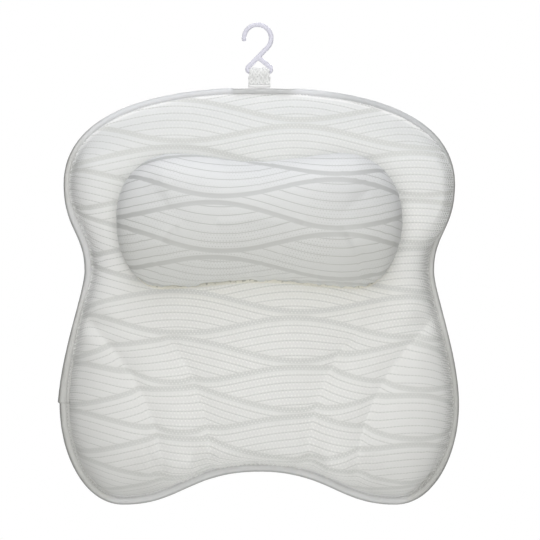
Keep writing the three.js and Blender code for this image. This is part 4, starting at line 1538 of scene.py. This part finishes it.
def gate_step(path):
    """The rod is a trace thinner on the tip's side of the mould's gate, at the top of the eye."""
    turn = np.degrees(np.arctan2(path[:, 1] - EYE_HEIGHT, path[:, 0] - EYE_X))
    return ROD_RADIUS + SKIN_ALLOWANCE - GATE_STEP * ((path[:, 1] > EYE_HEIGHT - 2) & (turn > GATE_ANGLE))


eye_line = arc((EYE_X, EYE_HEIGHT), EYE_RADIUS, math.radians(TIP_ANGLE), stem - math.pi / 2, 120)
left_line = arc((left_corner, CORNER_RADIUS), CORNER_RADIUS, stem + math.pi / 2, 1.5 * math.pi, 24)
right_line = arc((right_corner, CORNER_RADIUS), CORNER_RADIUS, -math.pi / 2, math.pi / 2 - leg, 24)
stem_line = np.vstack([eye_line, left_line, [(right_corner, 0)]])
leg_line = np.vstack([[(left_corner, 0)], right_line, [(apex_x, APEX_HEIGHT)]])
stem_points, stem_faces = rod(stem_line, gate_step)
leg_points, leg_faces = rod(leg_line, lambda path: np.full(len(path), ROD_RADIUS + SKIN_ALLOWANCE))
shift = len(stem_points)
hook = new_piece("hook_moulding", stem_points + leg_points,
                 stem_faces + [tuple(i + shift for i in face) for face in leg_faces])
reskin(hook, HOOK_VOXEL)
soft = hook.modifiers.new("soften", "SMOOTH")
soft.factor = 0.5
soft.iterations = 10
settle(hook)
hook_finish = moulded_plastic("hook_plastic", paint(232, 231, 242), paint(224, 223, 236), 0.26)
dress(hook, "hook", "hook_plastic", hook_finish, "hook")

# %% [markdown]
# ## The hanging loop
# A strip of the same mesh is folded round the bar, gathered and sewn to the edge under a smooth white
# band. It is a thin folded sheet, so it is modelled directly: a grid wraps up the front, over the bar and
# down the back, its crossing strands are raised in the mesh, and it is drawn in towards the top and
# gathered into two humps over the bar.

# %% Sizes of the strap
root = joints["loop_flex"]
STRAP_HALF = 10.6
STRAP_TOP_HALF = 9.8
STRAP_THICKNESS = 1.3
STRAP_BOTTOM = 2.1
STRAP_FLAT = 2.4
BAR_CLEARANCE = 0.45
STRAND_PITCH = 3.9
STRAND_LEAN = 0.6
STRAND_STRAY = 2.2
STRAND_RELIEF = 0.4
PINCH_FROM = 3.0
PINCH_OVER = 6.5
HUMP_HEIGHT = 0.7
FOLD_HEIGHT = 0.25
RAGGED_SIDE = 0.4
STRAP_COLUMNS = 84
STRAP_STEP = 0.35
BAR_STRAIGHT = min(-left_corner, right_corner)


def strap_line():
    """The strap's outer line seen from the side, from the front of its root over the bar to the back."""
    reach = ROD_RADIUS + BAR_CLEARANCE + STRAP_THICKNESS
    over = arc((0, bar[2] - root[2]), reach, math.pi, 0, 40)
    front = [(-STRAP_FLAT, -STRAP_BOTTOM), (-STRAP_FLAT - 0.1, 1.5), (-STRAP_FLAT - 0.6, 4.5),
             (-reach + 0.15, 8.0)]
    back = [(-a, b) for a, b in reversed(front)]
    return respaced(np.vstack([front, over, back]), STRAP_STEP)


def corner_rise(x):
    """How far the hook's rod has left the bar's line beyond its straight stretch."""
    past = max(0, abs(x) - BAR_STRAIGHT)
    return CORNER_RADIUS - math.sqrt(CORNER_RADIUS**2 - min(past, CORNER_RADIUS) ** 2)


print("strap's line", round(len(strap_line()) * STRAP_STEP, 1), "mm from end to end")


# %% Strap
def strap_grid():
    line = strap_line()
    along = unit(np.gradient(line, axis=0))
    out = np.column_stack([-along[:, 1], along[:, 0]])
    run = np.arange(len(line)) * STRAP_STEP
    points, marks = [], []
    for (y, z), (out_y, out_z), s in zip(line, out, run):
        pinch = float(eased((z - PINCH_FROM) / PINCH_OVER))
        half = STRAP_HALF + (STRAP_TOP_HALF - STRAP_HALF) * pinch
        for c in range(STRAP_COLUMNS + 1):
            u = 2 * c / STRAP_COLUMNS - 1
            cloth_x = u * STRAP_HALF
            lean = STRAND_LEAN * (s - run[-1] / 2) + STRAND_STRAY * noise.noise((cloth_x / 5, s / 6, 3))
            one = math.cos(math.pi * (cloth_x + lean) / STRAND_PITCH)
            two = math.cos(math.pi * (cloth_x - lean) / STRAND_PITCH)
            strand = max(abs(one), abs(two)) ** 4
            humps = HUMP_HEIGHT * math.sin(math.pi * abs(u)) + FOLD_HEIGHT * math.sin(cloth_x * 1.7 + 0.6)
            gather = pinch * humps + FOLD_HEIGHT * noise.noise((cloth_x / 2, s / 6, 5))
            lift = STRAND_RELIEF * (strand - 1) + gather + pinch * corner_rise(u * half)
            x = u * half + RAGGED_SIDE * u * noise.noise((s / 2.3, u, 2.0))
            points.append((root[0] + x, root[1] + y + out_y * lift, root[2] + z + out_z * lift))
            marks.append((cloth_x, s, strand))
    wide = STRAP_COLUMNS + 1
    faces = [(r * wide + c, r * wide + c + 1, (r + 1) * wide + c + 1, (r + 1) * wide + c)
             for r in range(len(line) - 1) for c in range(STRAP_COLUMNS)]
    return points, faces, marks


def strap_mesh():
    finish, start = new_finish("strap_mesh", Roughness=0.85)
    place, _, _, strand = cloth_place(start)
    mottle = cloudy(place, 2.5)
    ground = strand.below(0.5, 0.4).between(paint(249, 249, 249), paint(228, 229, 228))
    ground.coats(((236, 237, 236), mottle * 0.35)).feeds("Base Color")
    relief(mottle * 0.25)
    return finish


strap = new_piece("strap", *strap_grid())
thick = strap.modifiers.new("thick", "SOLIDIFY")
thick.thickness = STRAP_THICKNESS * 0.75 * MM
thick.offset = -1
settle(strap)
strap.data.materials.append(strap_mesh())
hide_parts("hang_loop")
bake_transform(strap)
strap_length = len(strap_line()) * STRAP_STEP
print("strap", len(strap.data.vertices), "points, cut", 2 * STRAP_HALF, "x", round(strap_length, 1), "mm")

# %% [markdown]
# ## The band at the strap's root
# The strap's two ends are sewn into the edge under a short white band. It is a flat oval ring with fine
# ribs, swept from a small profile, and it takes the tape's satin with its painted light and ridge highlight
# full on, at its whitest.

# %% Band at the strap's root
band_low, band_high = node_box("loop_anchor")
BAND_STEP = 0.35
BAND_PAINTED_LIGHT = 2.0


def root_band():
    middle = (band_low + band_high) / 2
    half_x, half_y = (band_high - band_low)[:2] / 2
    straight = half_x - half_y
    right = arc((straight, 0), half_y, -math.pi / 2, math.pi / 2, 24)
    left = arc((-straight, 0), half_y, math.pi / 2, 1.5 * math.pi, 24)
    loop = respaced(np.vstack([left, right]), BAND_STEP, closed=True)
    out = -inward(loop[::-1])[::-1]
    rows = []
    count = len(loop)
    tall = band_high[2] - band_low[2]
    run = np.arange(count) * BAND_STEP
    ribs = 0.07 * np.cos(2 * math.pi * run / TAPE_RIB)
    profile = [(-1.2, -0.6), (0.0, -0.6), (0.1, -0.2), (0.12, 0.5),
               (0.1, tall - 0.4), (-0.1, tall), (-1.2, tall + 0.1)]
    for swell_out, z in profile:
        spot = loop + (swell_out + ribs * (swell_out > 0))[:, None] * out
        height = np.full(count, band_low[2] + z)
        rows.append(np.column_stack([middle[0] + spot[:, 0], middle[1] + spot[:, 1], height]))
    # The band sits at the ridge's place with the satin's painted light full on, so the painted highlight
    # whitens all of it.
    marks = np.column_stack([run, np.full(count, RIDGE_PLACE), np.full(count, BAND_PAINTED_LIGHT)])
    return np.vstack(rows), ring_faces(len(rows), count), np.tile(marks, (len(rows), 1))


strap_band = new_piece("strap_band", *root_band())
dress(strap_band, "pad", "binding_tape", tape_finish, "loop_anchor")

# %% [markdown]
# ## The filling
# Inside lie six fibre pads and the bolster's stuffing. Nobody sees them with the covers on, but the part
# may be opened or cut, so the plain solids give way to tufted ones. Each is the solid remeshed, sunk a
# little, pushed in wherever its cover lies lower, and roughened like carded fibre.

# %% Fibre pads
FILLINGS = ("upper_fibre_pad", "centre_fibre_pad", "middle_fibre_pad_left", "middle_fibre_pad_right",
            "wing_fibre_pad_left", "wing_fibre_pad_right", "bolster_filling")


def fibre():
    finish, start = new_finish("fibre", Roughness=0.95)
    place = start.node("ShaderNodeTexCoord", out="Object")
    hair = cloudy(place, 1 / 260, 6.0)
    tuft = cloudy(place, 1 / 45, 3.0)
    tuft.between(paint(242, 242, 239), paint(222, 222, 218)).feeds("Base Color")
    relief(hair * 0.8 + tuft * 1.2)
    return finish


COVER_GAP = 2.5
FIBRE_VOXEL = 6
FIBRE_SINK = 2.0
TUFT_HEIGHT = 1.2
TUFT_SIZE = 18
TUFT_SEED = 1.7


def pushed_inside(points, cover):
    """The points, with those outside a cover or close under it moved to a gap beneath it."""
    skin, facing = points_of(cover), normals_of(cover)
    tree = search_tree(skin)
    at = np.array([tree.find(p)[1] for p in points])
    past = np.sum((points - skin[at]) * facing[at], axis=1) + COVER_GAP
    return points - facing[at] * np.maximum(past, 0)[:, None]


fibre_finish = fibre()
for node in FILLINGS:
    solid = frame["nodes"][node].data
    name = node.replace("_pad", "_batt").replace("_filling", "_stuffing")
    corners = np.array([v.co for v in solid.vertices]) / MM
    copied = new_piece(name, corners, [p.vertices for p in solid.polygons])
    reskin(copied, FIBRE_VOXEL)
    settle(copied)
    points = points_of(copied)
    sunk = FIBRE_SINK + TUFT_HEIGHT * unevenness(points, TUFT_SIZE, TUFT_SEED)
    points = points - normals_of(copied) * sunk[:, None]
    move_points(copied, pushed_inside(points, bolster if node == "bolster_filling" else pad_front))
    dress(copied, "pad", "fibre_fill", fibre_finish, node)

# %% The dressed pillow's bounds
low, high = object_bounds()
